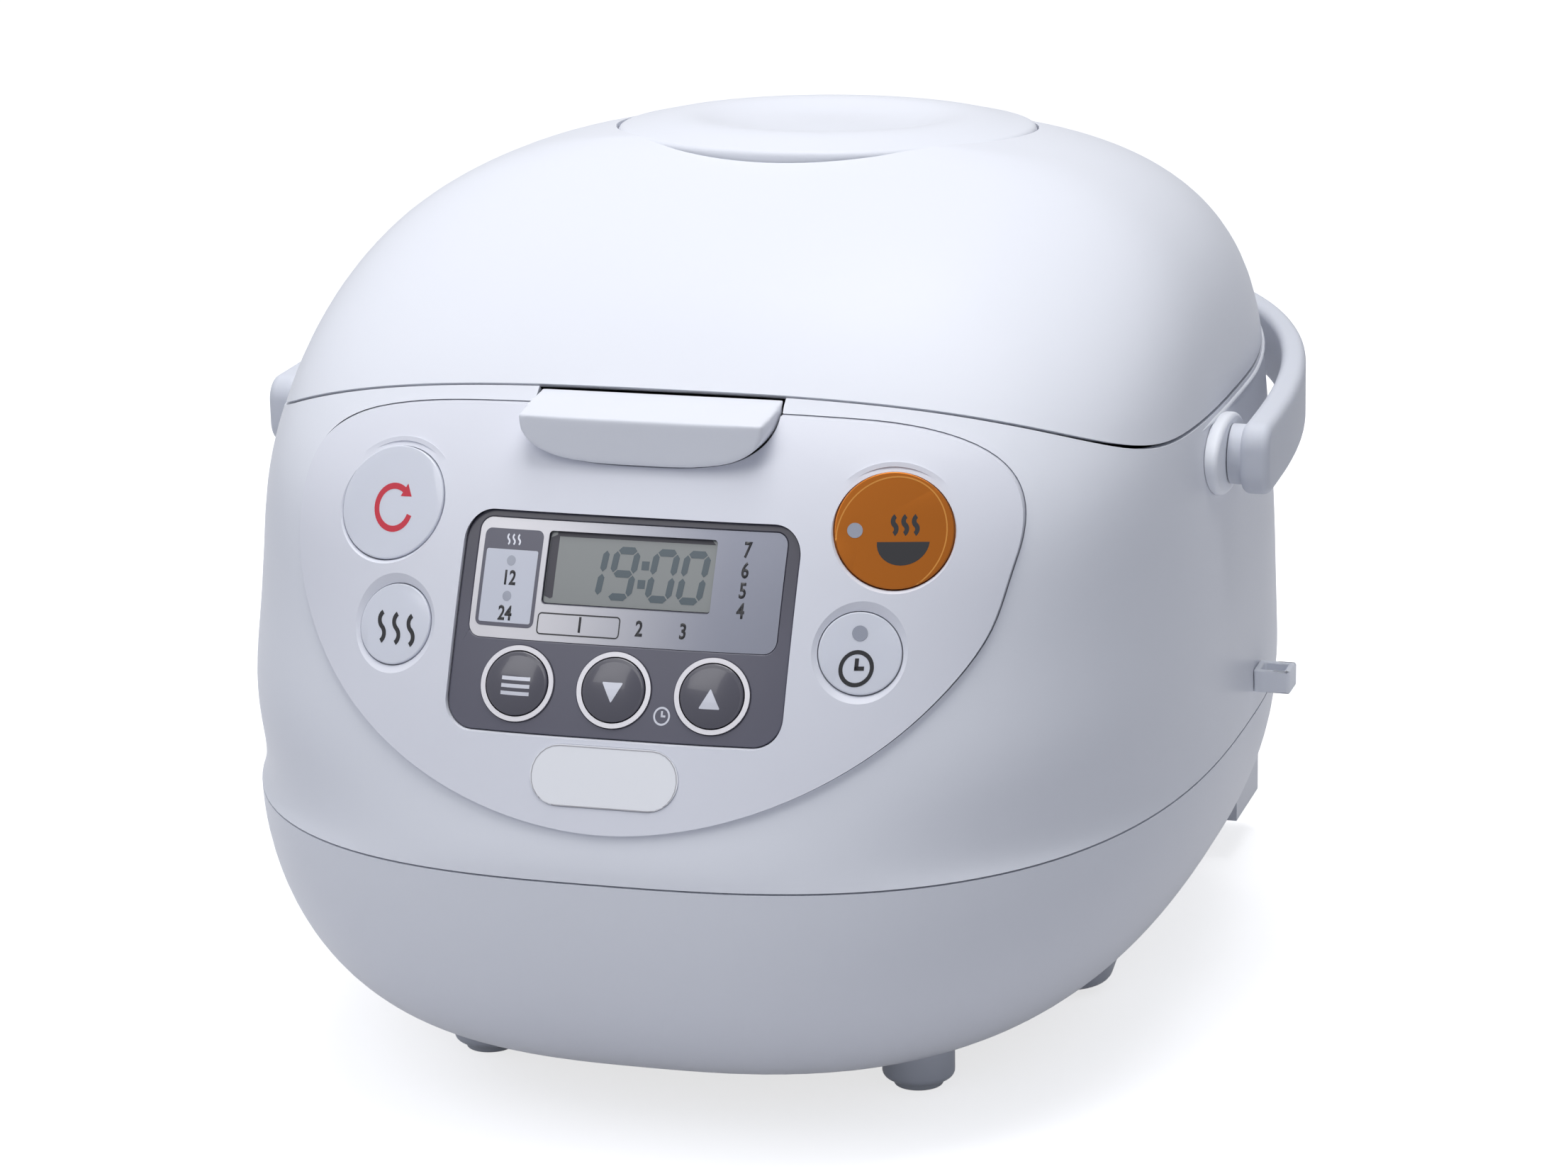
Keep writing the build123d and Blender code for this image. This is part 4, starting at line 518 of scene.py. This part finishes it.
def rim_bead(name, side):
    """Rounded bead along the body's flank, a little under the lid, fading out at both ends."""
    path = bead_path(side)
    bead = bmesh.new()
    ring = bmesh.ops.create_circle(bead, segments=BEAD_SIDES, radius=1.0)["verts"]
    edges = bead.edges[:]
    for i, (spot, normal) in enumerate(path):
        if i:
            grown = bmesh.ops.extrude_edge_only(bead, edges=edges)["geom"]
            edges = [e for e in grown if isinstance(e, bmesh.types.BMEdge) and len(e.link_faces) == 1]
            new_of = {}
            for v in (g for g in grown if isinstance(g, bmesh.types.BMVert)):
                old = next(e.other_vert(v) for e in v.link_edges if e.other_vert(v) in ring)
                new_of[old] = v
            ring = [new_of[v] for v in ring]
        ahead, behind = path[min(i + 1, BEAD_STEPS)][0], path[max(i - 1, 0)][0]
        along = (ahead - behind).normalized()
        up = along.cross(normal).normalized()
        share = min(i, BEAD_STEPS - i) / BEAD_STEPS
        r = BEAD_RADIUS * MM * min(1.0, BEAD_TIP + share / BEAD_TAPER)
        for k, v in enumerate(ring):
            turn = 2 * math.pi * k / BEAD_SIDES
            v.co = spot + normal * (math.cos(turn) - BEAD_SUNK) * r + up * math.sin(turn) * r
    bmesh.ops.holes_fill(bead, edges=bead.edges[:], sides=BEAD_SIDES)
    bmesh.ops.recalc_face_normals(bead, faces=bead.faces)
    for face in bead.faces:
        face.smooth = True
    piece = new_piece(name, bead, FINISHES["shell_white"])
    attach(piece, "base")


# ======== marks: print, inlays, painted shade and a painted highlight, drawn in x and z and laid on the surface that carries them ===
MARK_LIFT, MARK_THICK, MARK_CELL = 0.05, 0.12, 1.6        # mm
MARK_CUT_REACH = 1e-7
DISC_SIDES, ARC_STEPS, CORNER_STEPS = 40, 24, 6


def edge_bar(mark, x0, z0, x1, z1, width):
    """Straight stroke: a short edge across its start, drawn out to its end."""
    along = Vector((x1 - x0, 0, z1 - z0))
    across = Vector((-along.z, 0, along.x)).normalized() * width / 2
    a = mark.verts.new(Vector((x0, 0, z0)) + across)
    b = mark.verts.new(Vector((x0, 0, z0)) - across)
    made = bmesh.ops.extrude_edge_only(mark, edges=[mark.edges.new((a, b))])
    bmesh.ops.translate(mark, vec=along, verts=[v for v in made["geom"] if isinstance(v, bmesh.types.BMVert)])


def arc_bar(mark, x, z, r, width, start, sweep, steps=ARC_STEPS):
    """Round stroke: a short radial edge spun about its centre, angles in degrees."""
    turn = math.radians(start)
    ray = Vector((math.cos(turn), 0, math.sin(turn)))
    centre = Vector((x, 0, z))
    a = mark.verts.new(centre + ray * (r - width / 2))
    b = mark.verts.new(centre + ray * (r + width / 2))
    edge = mark.edges.new((a, b))
    bmesh.ops.spin(mark, geom=[a, b, edge], cent=centre, axis=(0, -1, 0), angle=math.radians(sweep), steps=steps,
                   use_merge=abs(sweep) == 360)


def disc_mark(mark, x, z, r):
    spot = Matrix.Translation((x, 0, z)) @ Matrix.Rotation(math.pi / 2, 4, "X")
    bmesh.ops.create_circle(mark, cap_ends=True, segments=DISC_SIDES, radius=r, matrix=spot)


def polygon_mark(mark, points):
    return mark.faces.new([mark.verts.new((x, 0, z)) for x, z in points])


def rounded_mark(mark, x0, x1, z0, z1, r, frame_width=0.0):
    """Rounded rectangle, or only its frame."""
    face = polygon_mark(mark, [(x0, z0), (x1, z0), (x1, z1), (x0, z1)])
    made = bmesh.ops.bevel(mark, geom=list(face.verts), offset=r, affect="VERTICES", segments=CORNER_STEPS,
                           profile=0.5, material=-1)
    if frame_width:
        whole = [f for f in mark.faces if set(f.verts) & set(made["verts"])]
        bmesh.ops.inset_individual(mark, faces=whole, thickness=frame_width, use_even_offset=True)
        bmesh.ops.delete(mark, geom=whole, context="FACES")


def lay_on(name, draw, node, mark_finish, lift=MARK_LIFT):
    """Draws a mark, cuts it fine enough to bend, drapes it on a node's front and gives it a thin body."""
    mark = bmesh.new()
    draw(mark)
    xs = [v.co.x for v in mark.verts]
    zs = [v.co.z for v in mark.verts]
    for axis, low, high in ((0, min(xs), max(xs)), (2, min(zs), max(zs))):
        normal = Vector([float(i == axis) for i in range(3)])
        count = int((high - low) / (MARK_CELL * MM))
        for i in range(1, count + 1):
            cut = low + (high - low) * i / (count + 1)
            geom = mark.verts[:] + mark.edges[:] + mark.faces[:]
            bmesh.ops.bisect_plane(mark, geom=geom, dist=MARK_CUT_REACH, plane_co=normal * cut, plane_no=normal)
    bmesh.ops.triangulate(mark, faces=[f for f in mark.faces if len(f.verts) > 4])
    tree = surface_of(node)
    far = Vector((0, -1, 0))
    for vert in mark.verts:
        spot, normal, _, _ = tree.ray_cast(far + Vector((vert.co.x, 0, vert.co.z)), Vector((0, 1, 0)))
        vert.co = (spot or vert.co) + Vector((0, -1, 0)) * lift * MM
    for face in mark.faces:
        face.normal_update()
        if face.normal.y > 0:
            face.normal_flip()
    top = mark.faces[:]
    made = bmesh.ops.extrude_face_region(mark, geom=top)
    back = [v for v in made["geom"] if isinstance(v, bmesh.types.BMVert)]
    bmesh.ops.translate(mark, vec=(0, MARK_THICK * MM, 0), verts=back)
    bmesh.ops.recalc_face_normals(mark, faces=mark.faces)
    piece = new_piece(name, mark, MARK_FINISHES[mark_finish])
    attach(piece, BODY_OF[node])


def middle(node):
    """Middle of a key as seen from the front: that of its crown where it has one."""
    low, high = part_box(node)
    if node in CROWNS:
        xs = [vert.co.x for vert in CROWNS[node].data.vertices]
        zs = [vert.co.z for vert in CROWNS[node].data.vertices]
        return (min(xs) + max(xs)) / 2, (min(zs) + max(zs)) / 2
    return (low.x + high.x) / 2, (low.z + high.z) / 2


LABEL_LOW, LABEL_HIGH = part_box("label_plate")
PANE_LOW, PANE_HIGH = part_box("display_window")


LIT = {"0": "abcdef", "1": "bc", "9": "abcdfg", ":": ""}
SEGMENT_ENDS = {"a": ((0, 1), (1, 1)), "b": ((1, 1), (1, 0.5)), "c": ((1, 0.5), (1, 0)), "d": ((0, 0), (1, 0)),
                "e": ((0, 0.5), (0, 0)), "f": ((0, 1), (0, 0.5)), "g": ((0, 0.5), (1, 0.5))}
SEGMENT_THICK, SEGMENT_GAP, COLON_SIDE = 0.155, 0.14, 0.6      # of the digit's height, then of the thickness
COLON_LEVELS = (0.3, 0.7)                                 # of the digit's height
DIGIT_TALL, DIGIT_WIDE, DIGIT_STEP, DIGIT_LEAN = 0.64, 0.50, 1.52, 0.12
READING_LEFT, READING_LOW = 0.20, 0.14                    # shares of the pane
COLON_STEP, COLON_PULL = 0.95, 0.33                       # shares of a digit's step


def seven_segments(mark, digit, x, z, wide, tall, lean):
    """One display digit of six-sided bars, leaning right."""
    t = SEGMENT_THICK * tall
    for segment in LIT[digit]:
        (u0, v0), (u1, v1) = SEGMENT_ENDS[segment]
        a = Vector((u0 * wide, v0 * tall))
        b = Vector((u1 * wide, v1 * tall))
        along = (b - a).normalized()
        across = Vector((-along.y, along.x)) * t / 2
        gap = along * SEGMENT_GAP * t
        tip = along * t / 2
        points = [a + gap, a + gap + tip + across, b - gap - tip + across,
                  b - gap, b - gap - tip - across, a + gap + tip - across]
        polygon_mark(mark, [(x + p.x + p.y * lean, z + p.y) for p in points])
    if digit == ":":
        for v in COLON_LEVELS:
            side = COLON_SIDE * t
            spot_x, spot_z = x + wide / 2 + v * tall * lean, z + v * tall
            polygon_mark(mark, [(spot_x - side, spot_z - side), (spot_x + side, spot_z - side),
                                (spot_x + side, spot_z + side), (spot_x - side, spot_z + side)])


def clock_reading(mark):
    tall = DIGIT_TALL * (PANE_HIGH.z - PANE_LOW.z)
    wide = DIGIT_WIDE * tall
    step = DIGIT_STEP * wide
    x = PANE_LOW.x + READING_LEFT * (PANE_HIGH.x - PANE_LOW.x)
    z = PANE_LOW.z + READING_LOW * (PANE_HIGH.z - PANE_LOW.z)
    for digit in "19:00":
        seven_segments(mark, digit, x, z, wide, tall, DIGIT_LEAN)
        x += COLON_STEP * step if digit == ":" else step
        if digit in "9:":
            x -= COLON_PULL * step


NUMERAL_SIZE, NUMERAL_BOLD, NUMERAL_WIDE = 1.38, 0.035, 0.8      # font size, swelling and width, of the height
NUMERAL_STEPS = 3


def numeral(mark, text, x, z, tall):
    """Plain numerals from the built-in font, centred on x, z."""
    curve = bpy.data.curves.new("numeral", "FONT")
    curve.body = text
    curve.align_x = "CENTER"
    curve.align_y = "CENTER"
    curve.size = tall * NUMERAL_SIZE
    curve.offset = tall * NUMERAL_BOLD
    curve.resolution_u = NUMERAL_STEPS
    carrier = bpy.data.objects.new("numeral", curve)
    bpy.context.scene.collection.objects.link(carrier)
    bpy.context.view_layer.update()
    mesh = bpy.data.meshes.new_from_object(carrier)
    upright = Matrix.Rotation(math.pi / 2, 4, "X") @ Matrix.Diagonal((NUMERAL_WIDE, 1, 1, 1))
    mesh.transform(Matrix.Translation((x, 0, z)) @ upright)
    mark.from_mesh(mesh)
    bpy.data.objects.remove(carrier)
    bpy.data.meshes.remove(mesh)
    bpy.data.curves.remove(curve)


WAVE_COUNT, WAVE_STEPS = 3, 10
WAVE_SWEEP, WAVE_ASIDE, WAVE_ABOVE = 106, 0.6, 0.8        # degrees, and shares of an arc's radius


def heat_waves(mark, x, z, tall, width):
    """Upright wavy lines, each from two arcs that bend opposite ways."""
    r = tall / 4
    for i in range(WAVE_COUNT):
        middle_x = x + (i - (WAVE_COUNT - 1) / 2) * tall / 2
        for way, facing in ((1, 180), (-1, 0)):
            arc_bar(mark, middle_x + way * WAVE_ASIDE * r, z + way * WAVE_ABOVE * r, r, width,
                    facing - WAVE_SWEEP / 2, WAVE_SWEEP, WAVE_STEPS)


MINUTE_HAND, HOUR_HAND = 0.62, 0.5                        # of the clock's radius


def clock_face(mark, x, z, r, width):
    arc_bar(mark, x, z, r, width, 0, 360, DISC_SIDES)
    edge_bar(mark, x, z - width / 2, x, z + MINUTE_HAND * r, width)
    edge_bar(mark, x - width / 2, z, x + HOUR_HAND * r, z, width)


ARROW_START, ARROW_SWEEP, ARROW_STEPS = 60, 285, 36       # degrees
ARROW_HALF, ARROW_LONG = 1.25, 1.9                        # the head, of the stroke's width


def turn_arrow(mark, x, z, r, width):
    arc_bar(mark, x, z, r, width, ARROW_START, ARROW_SWEEP, ARROW_STEPS)
    tip = math.radians(ARROW_START)
    ray = Vector((math.cos(tip), math.sin(tip)))
    side = Vector((-ray.y, ray.x))
    base = Vector((x, z)) + ray * r
    points = [base + ray * width * ARROW_HALF, base - side * width * ARROW_LONG, base - ray * width * ARROW_HALF]
    polygon_mark(mark, [(p.x, p.y) for p in points])


BOWL_DEEP, BOWL_STEPS = 0.42, 18                          # of the bowl's width
STEAM_ABOVE, STEAM_TALL = 0.30, 0.40


def rice_bowl(mark, x, z, wide, width):
    """Bowl under heat waves."""
    turns = [math.pi * (1 + i / BOWL_STEPS) for i in range(BOWL_STEPS + 1)]
    polygon_mark(mark, [(x + wide / 2 * math.cos(t), z + BOWL_DEEP * wide * math.sin(t)) for t in turns])
    heat_waves(mark, x, z + STEAM_ABOVE * wide, STEAM_TALL * wide, width)


MENU_LINE_STEP = 2.0                                      # of a line's width


def menu_lines(mark, x, z, wide, width):
    for k in (-1, 0, 1):
        level = z + k * MENU_LINE_STEP * width
        edge_bar(mark, x - wide / 2, level, x + wide / 2, level, width)


TRIANGLE_TALL, TRIANGLE_CORNER, TRIANGLE_STEPS = 0.86, 0.06, 3      # of its side


def triangle(mark, x, z, side, up):
    h = side * TRIANGLE_TALL * (1 if up else -1)
    face = polygon_mark(mark, [(x - side / 2, z - h / 2), (x + side / 2, z - h / 2), (x, z + h / 2)])
    bmesh.ops.bevel(mark, geom=list(face.verts), offset=side * TRIANGLE_CORNER, affect="VERTICES",
                    segments=TRIANGLE_STEPS, profile=0.5, material=-1)


# ---- print on the label plate and the display, and the painted shade on the display, in mm or as shares ----
ON_PRINT, ON_FIELD = 0.09, 0.13                           # lifts of print that lies on other print
KEEP_LEFT, KEEP_RIGHT, KEEP_LOW, KEEP_TOP = 1.4, 1.5, 2.6, 2.4      # room round the keep warm box
KEEP_HEAD, KEEP_CORNER, KEEP_BORDER, FIELD_CORNER = 4.6, 1.6, 0.9, 0.5
HEAD_WAVE_TALL, HEAD_WAVE_WIDE = 2.8, 0.42
KEEP_LAMPS, KEEP_LAMP_RADIUS = (0.86, 0.40), 1.15         # shares of the field's height
KEEP_NUMBERS, KEEP_NUMBER_TALL = (("12", 0.63), ("24", 0.17)), 3.3
MENU_NUMBER_TALL, MENU_LEFT, MENU_RAISE, MENU_DROP = 3.5, 1.0, 0.4, 0.2
MENU_COLUMN, MENU_ROWS = "7654", 3.6                      # beside the pane, and how many rows its height holds
MENU_ROW = (("1", 0.245), ("2", 0.60), ("3", 0.86))       # under the pane, as shares of its width
MENU_BOX_LEFT, MENU_BOX_RIGHT, MENU_BOX_HALF, MENU_BOX_CORNER, MENU_BOX_LINE = 0.5, 21.0, 2.5, 1.0, 0.3
READING_LIFT = 0.06
# the display's painted shade
SHADE_INSET, SHADE_WIDE, SHADE_LOW, SHADE_TALL, SHADE_END = 0.15, 2.2, 1.2, 1.1, 0.4


def keep_warm_box():
    x0, x1 = LABEL_LOW.x + KEEP_LEFT * MM, PANE_LOW.x - KEEP_RIGHT * MM
    z0, z1 = LABEL_LOW.z + KEEP_LOW * MM, LABEL_HIGH.z - KEEP_TOP * MM
    x, head_z, border = (x0 + x1) / 2, z1 - KEEP_HEAD * MM, KEEP_BORDER * MM

    def whole(mark):
        rounded_mark(mark, x0, x1, z0, z1, KEEP_CORNER * MM)

    def field(mark):
        rounded_mark(mark, x0 + border, x1 - border, z0 + border, head_z, FIELD_CORNER * MM)

    def waves(mark):
        heat_waves(mark, x, (head_z + z1) / 2, HEAD_WAVE_TALL * MM, HEAD_WAVE_WIDE * MM)

    def lamps(mark):
        for share in KEEP_LAMPS:
            disc_mark(mark, x, z0 + (head_z - z0) * share, KEEP_LAMP_RADIUS * MM)

    def numbers(mark):
        for text, share in KEEP_NUMBERS:
            numeral(mark, text, x, z0 + (head_z - z0) * share, KEEP_NUMBER_TALL * MM)

    lay_on("keep_warm_frame", whole, "label_plate", "grey")
    lay_on("keep_warm_field", field, "label_plate", "field", ON_PRINT)
    lay_on("keep_warm_waves", waves, "label_plate", "pale", ON_PRINT)
    lay_on("keep_warm_lamps", lamps, "label_plate", "lamp", ON_FIELD)
    lay_on("keep_warm_numbers", numbers, "label_plate", "black", ON_FIELD)


def menu_numbers():
    column_x = (PANE_HIGH.x + LABEL_HIGH.x) / 2 - MENU_LEFT * MM
    row = (PANE_HIGH.z - PANE_LOW.z) / MENU_ROWS
    row_z = (LABEL_LOW.z + PANE_LOW.z) / 2 - MENU_DROP * MM

    def numbers(mark):
        for i, text in enumerate(MENU_COLUMN):
            numeral(mark, text, column_x, PANE_HIGH.z - (0.5 + i) * row + MENU_RAISE * MM, MENU_NUMBER_TALL * MM)
        for text, share in MENU_ROW:
            numeral(mark, text, PANE_LOW.x + (PANE_HIGH.x - PANE_LOW.x) * share, row_z, MENU_NUMBER_TALL * MM)

    def box(mark):
        left, right, half = MENU_BOX_LEFT * MM, MENU_BOX_RIGHT * MM, MENU_BOX_HALF * MM
        rounded_mark(mark, PANE_LOW.x - left, PANE_LOW.x + right, row_z - half, row_z + half,
                     MENU_BOX_CORNER * MM, MENU_BOX_LINE * MM)

    lay_on("menu_numbers", numbers, "label_plate", "black")
    lay_on("menu_box", box, "label_plate", "black")


def display_shade(mark):
    """Painted shade on the pane at its left and top, partly standing for the window's dark inner walls."""
    inset, end = SHADE_INSET * MM, SHADE_END * MM
    left, low = PANE_LOW.x + inset, PANE_LOW.z + inset
    right, top = PANE_HIGH.x - inset, PANE_HIGH.z - inset
    x, z = left + SHADE_WIDE * MM, top - SHADE_TALL * MM
    polygon_mark(mark, [(left, low), (x, low + SHADE_LOW * MM), (x, z), (left, top)])
    polygon_mark(mark, [(left, top), (x, z), (right - end, z), (right, top)])


# ---- signs on the buttons, and the painted highlight ring on the cooking disc: sizes and shifts from the middle, in mm ----
RESET_RADIUS, RESET_WIDE = 4.9, 1.4
BOWL_X, BOWL_Z, BOWL_WIDE, STEAM_WIDE = 3.0, -1.4, 12.5, 1.1
# the painted highlight ring on the cooking disc
COPPER_RING_RADIUS, COPPER_RING_WIDE, COPPER_RING_STEPS = 13.1, 0.32, 72
WARM_TALL, WARM_WIDE = 8.4, 1.1
TIMER_Z, TIMER_RADIUS, TIMER_WIDE = -2.4, 3.7, 0.95
MENU_LINES_LONG, MENU_LINES_WIDE = 7.4, 0.85
TRIANGLE_SIDE = 5.4
TIME_X, TIME_Z, TIME_RADIUS, TIME_WIDE = -12.2, -5.0, 1.9, 0.45


def button_marks():
    x, z = middle("reset_button")
    lay_on("reset_mark", lambda m: turn_arrow(m, x, z, RESET_RADIUS * MM, RESET_WIDE * MM), "reset_button", "red")
    x, z = middle("cooking_button")
    lay_on("cooking_mark", lambda m: rice_bowl(m, x + BOWL_X * MM, z + BOWL_Z * MM, BOWL_WIDE * MM, STEAM_WIDE * MM),
           "cooking_button", "black")
    # painted highlight: a lighter copper ring on the disc's rounded edge
    lay_on("cooking_ring_highlight", lambda m: arc_bar(m, x, z, COPPER_RING_RADIUS * MM, COPPER_RING_WIDE * MM, 0, 360,
                                             COPPER_RING_STEPS), "cooking_button", "copper")
    x, z = middle("keep_warm_button")
    lay_on("keep_warm_mark", lambda m: heat_waves(m, x, z, WARM_TALL * MM, WARM_WIDE * MM),
           "keep_warm_button", "black")
    x, z = middle("timer_button")
    lay_on("timer_mark", lambda m: clock_face(m, x, z + TIMER_Z * MM, TIMER_RADIUS * MM, TIMER_WIDE * MM),
           "timer_button", "black")
    x, z = middle("menu_button")
    lay_on("menu_mark", lambda m: menu_lines(m, x, z, MENU_LINES_LONG * MM, MENU_LINES_WIDE * MM),
           "menu_button", "pale")
    for node, up in (("down_button", False), ("up_button", True)):
        x, z = middle(node)
        lay_on(node + "_mark", lambda m: triangle(m, x, z, TRIANGLE_SIDE * MM, up), node, "pale")
    lay_on("time_mark", lambda m: clock_face(m, x + TIME_X * MM, z + TIME_Z * MM, TIME_RADIUS * MM, TIME_WIDE * MM),
           "display_fascia", "pale")


RIM_INSET, RIM_WIDE, RIM_ROUND = 0.25, 0.22, 0.49         # mm, mm, and the corner as a share of the height


def plate_rim(mark):
    low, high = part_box("nameplate")
    inset = RIM_INSET * MM
    rounded_mark(mark, low.x + inset, high.x - inset, low.z + inset, high.z - inset,
                 RIM_ROUND * (high.z - low.z - 2 * inset), RIM_WIDE * MM)


for node in CROWNED:
    CROWNS[node] = key_crown(node)
keep_warm_box()
menu_numbers()
lay_on("clock_reading", clock_reading, "display_window", "segment", READING_LIFT)
# painted shade on the display pane, partly standing for its dark inner walls
lay_on("display_shade", display_shade, "display_window", "painted_shade")
button_marks()
lay_on("plate_rim", plate_rim, "nameplate", "rim")
rim_bead("right_rim_bead", 1)
rim_bead("left_rim_bead", -1)


# ======== stage, light and camera ========
def new_node(tree, kind, **values):
    node = tree.nodes.new(kind)
    for label, value in values.items():
        node.inputs[label].default_value = value
    return node


MIRROR_SHARE = 0.4                                        # of the white floor that reflections show
MIRROR_DIM, MIRROR_FULL = 0.10, 0.75                      # and of the background, away from and towards the window
WINDOW_SIDE = (-0.55, -0.55, 0.63)
AMBIENT = (0.82, 0.88, 1.0)
AMBIENT_LOW, AMBIENT_HIGH = 0.15, 0.40
FLOOR_HALF, FLOOR_DROP = 6.0, 0.2 * MM
FLOOR_GREY, FLOOR_GLOW = (0.62, 0.62, 0.64), 0.72
KEY_LIGHT = ("key_light", (-0.60, -1.15, 1.55), (0, 0, 0.12), 1.1, 7.0, (1, 1, 1))
TOP_LIGHT = ("top_light", (0.08, -0.10, 1.9), (0, 0, 0.15), 1.2, 21.0, (1, 1, 1))
GLOSS_LIGHT = ("gloss_light", (-0.22, 0.74, 1.9), (0, -0.05, 0.2), 0.5, 4.5, (1.0, 0.97, 0.95))


def white_to_eye(tree, mirror=None):
    """1 where a ray comes from the camera or through glass, less for a reflection."""
    path = tree.nodes.new("ShaderNodeLightPath")
    part = tree.nodes.new("ShaderNodeMath")
    part.operation = "MULTIPLY"
    part.inputs[1].default_value = MIRROR_SHARE
    if mirror:
        tree.links.new(mirror, part.inputs[1])
    tree.links.new(path.outputs["Is Glossy Ray"], part.inputs[0])
    first = tree.nodes.new("ShaderNodeMath")
    first.operation = "MAXIMUM"
    second = tree.nodes.new("ShaderNodeMath")
    second.operation = "MAXIMUM"
    tree.links.new(path.outputs["Is Camera Ray"], first.inputs[0])
    tree.links.new(part.outputs[0], first.inputs[1])
    tree.links.new(first.outputs[0], second.inputs[0])
    tree.links.new(path.outputs["Is Transmission Ray"], second.inputs[1])
    return second.outputs[0]


def level_between(tree, low, high):
    """Low to high for a value from -1 to 1."""
    level = tree.nodes.new("ShaderNodeMapRange")
    level.inputs["From Min"].default_value = -1.0
    level.inputs["To Min"].default_value = low
    level.inputs["To Max"].default_value = high
    return level


def room_light():
    """Pale room, brighter towards the window side, behind a background that looks white."""
    world = bpy.data.worlds.new("studio")
    world.use_nodes = True
    bpy.context.scene.world = world
    tree = world.node_tree
    tree.nodes.clear()
    out = tree.nodes.new("ShaderNodeOutputWorld")
    mix = tree.nodes.new("ShaderNodeMixShader")
    place = tree.nodes.new("ShaderNodeTexCoord")
    facing = tree.nodes.new("ShaderNodeVectorMath")
    facing.operation = "DOT_PRODUCT"
    facing.inputs[1].default_value = WINDOW_SIDE
    level = level_between(tree, AMBIENT_LOW, AMBIENT_HIGH)
    mirror = level_between(tree, MIRROR_DIM, MIRROR_FULL)
    tree.links.new(facing.outputs["Value"], mirror.inputs["Value"])
    soft = new_node(tree, "ShaderNodeBackground", Color=(*AMBIENT, 1))
    tree.links.new(place.outputs["Generated"], facing.inputs[0])
    tree.links.new(facing.outputs["Value"], level.inputs["Value"])
    tree.links.new(level.outputs["Result"], soft.inputs["Strength"])
    plain = new_node(tree, "ShaderNodeBackground", Color=(1, 1, 1, 1), Strength=1.0)
    tree.links.new(white_to_eye(tree, mirror.outputs["Result"]), mix.inputs[0])
    tree.links.new(soft.outputs[0], mix.inputs[1])
    tree.links.new(plain.outputs[0], mix.inputs[2])
    tree.links.new(mix.outputs[0], out.inputs["Surface"])


def table_top():
    """Plain white floor that keeps the cooker's shadow."""
    material = bpy.data.materials.new("table_white")
    material.use_nodes = True
    tree = material.node_tree
    tree.nodes.clear()
    out = tree.nodes.new("ShaderNodeOutputMaterial")
    mix = tree.nodes.new("ShaderNodeMixShader")
    add = tree.nodes.new("ShaderNodeAddShader")
    matt = new_node(tree, "ShaderNodeBsdfDiffuse", Color=(*FLOOR_GREY, 1))
    glow = new_node(tree, "ShaderNodeEmission", Color=(1, 1, 1, 1), Strength=FLOOR_GLOW)
    tree.links.new(matt.outputs[0], add.inputs[0])
    tree.links.new(glow.outputs[0], add.inputs[1])
    tree.links.new(white_to_eye(tree), mix.inputs[0])
    tree.links.new(matt.outputs[0], mix.inputs[1])
    tree.links.new(add.outputs[0], mix.inputs[2])
    tree.links.new(mix.outputs[0], out.inputs["Surface"])
    shape = bmesh.new()
    bmesh.ops.create_grid(shape, x_segments=1, y_segments=1, size=FLOOR_HALF)
    floor = new_piece("table_top", shape, material)
    floor.location.z = CAD_BOX[0].z - FLOOR_DROP


def softbox(name, place, aim, size, power, colour):
    light = bpy.data.lights.new(name, "AREA")
    light.shape = "SQUARE"
    light.size = size
    light.energy = power
    light.color = colour
    lamp = bpy.data.objects.new(name, light)
    bpy.context.scene.collection.objects.link(lamp)
    lamp.location = place
    lamp.rotation_mode = "QUATERNION"
    lamp.rotation_quaternion = (Vector(aim) - Vector(place)).to_track_quat("-Z", "Y")


CAMERA_AZIMUTH, CAMERA_ELEVATION, CAMERA_ROLL = (math.radians(a) for a in (16.423, 15.094, -1.02))
CAMERA_HUB, CAMERA_DISTANCE = Vector((0.0, 0.453, 110.0)) * MM, 1.36208       # it stands on a sphere about the hub
CAMERA_AIM = Vector((-2.53, -1.68, 105.06)) * MM
CAMERA_LENS, CAMERA_SENSOR, CAMERA_NEAR, CAMERA_FAR = 113.63, 36.0, 0.05, 20.0


def studio_camera():
    a, e, turn = CAMERA_AZIMUTH, CAMERA_ELEVATION, CAMERA_ROLL
    back = Vector((math.sin(a) * math.cos(e), -math.cos(a) * math.cos(e), math.sin(e)))
    place = CAMERA_HUB + back * CAMERA_DISTANCE
    forward = (CAMERA_AIM - place).normalized()
    right = forward.cross(Vector((0, 0, 1))).normalized()
    up = right.cross(forward)
    across = right * math.cos(turn) + up * math.sin(turn)
    above = up * math.cos(turn) - right * math.sin(turn)
    camera = bpy.data.cameras.new("studio_camera")
    camera.lens = CAMERA_LENS
    camera.sensor_width = CAMERA_SENSOR
    camera.clip_start = CAMERA_NEAR
    camera.clip_end = CAMERA_FAR
    eye = bpy.data.objects.new("studio_camera", camera)
    bpy.context.scene.collection.objects.link(eye)
    turned = Matrix((across, above, -forward)).transposed().to_4x4()
    eye.matrix_world = Matrix.Translation(place) @ turned
    bpy.context.scene.camera = eye


room_light()
table_top()
for light in (KEY_LIGHT, TOP_LIGHT, GLOSS_LIGHT):
    softbox(*light)
studio_camera()
bpy.context.scene.view_settings.view_transform = "Standard"
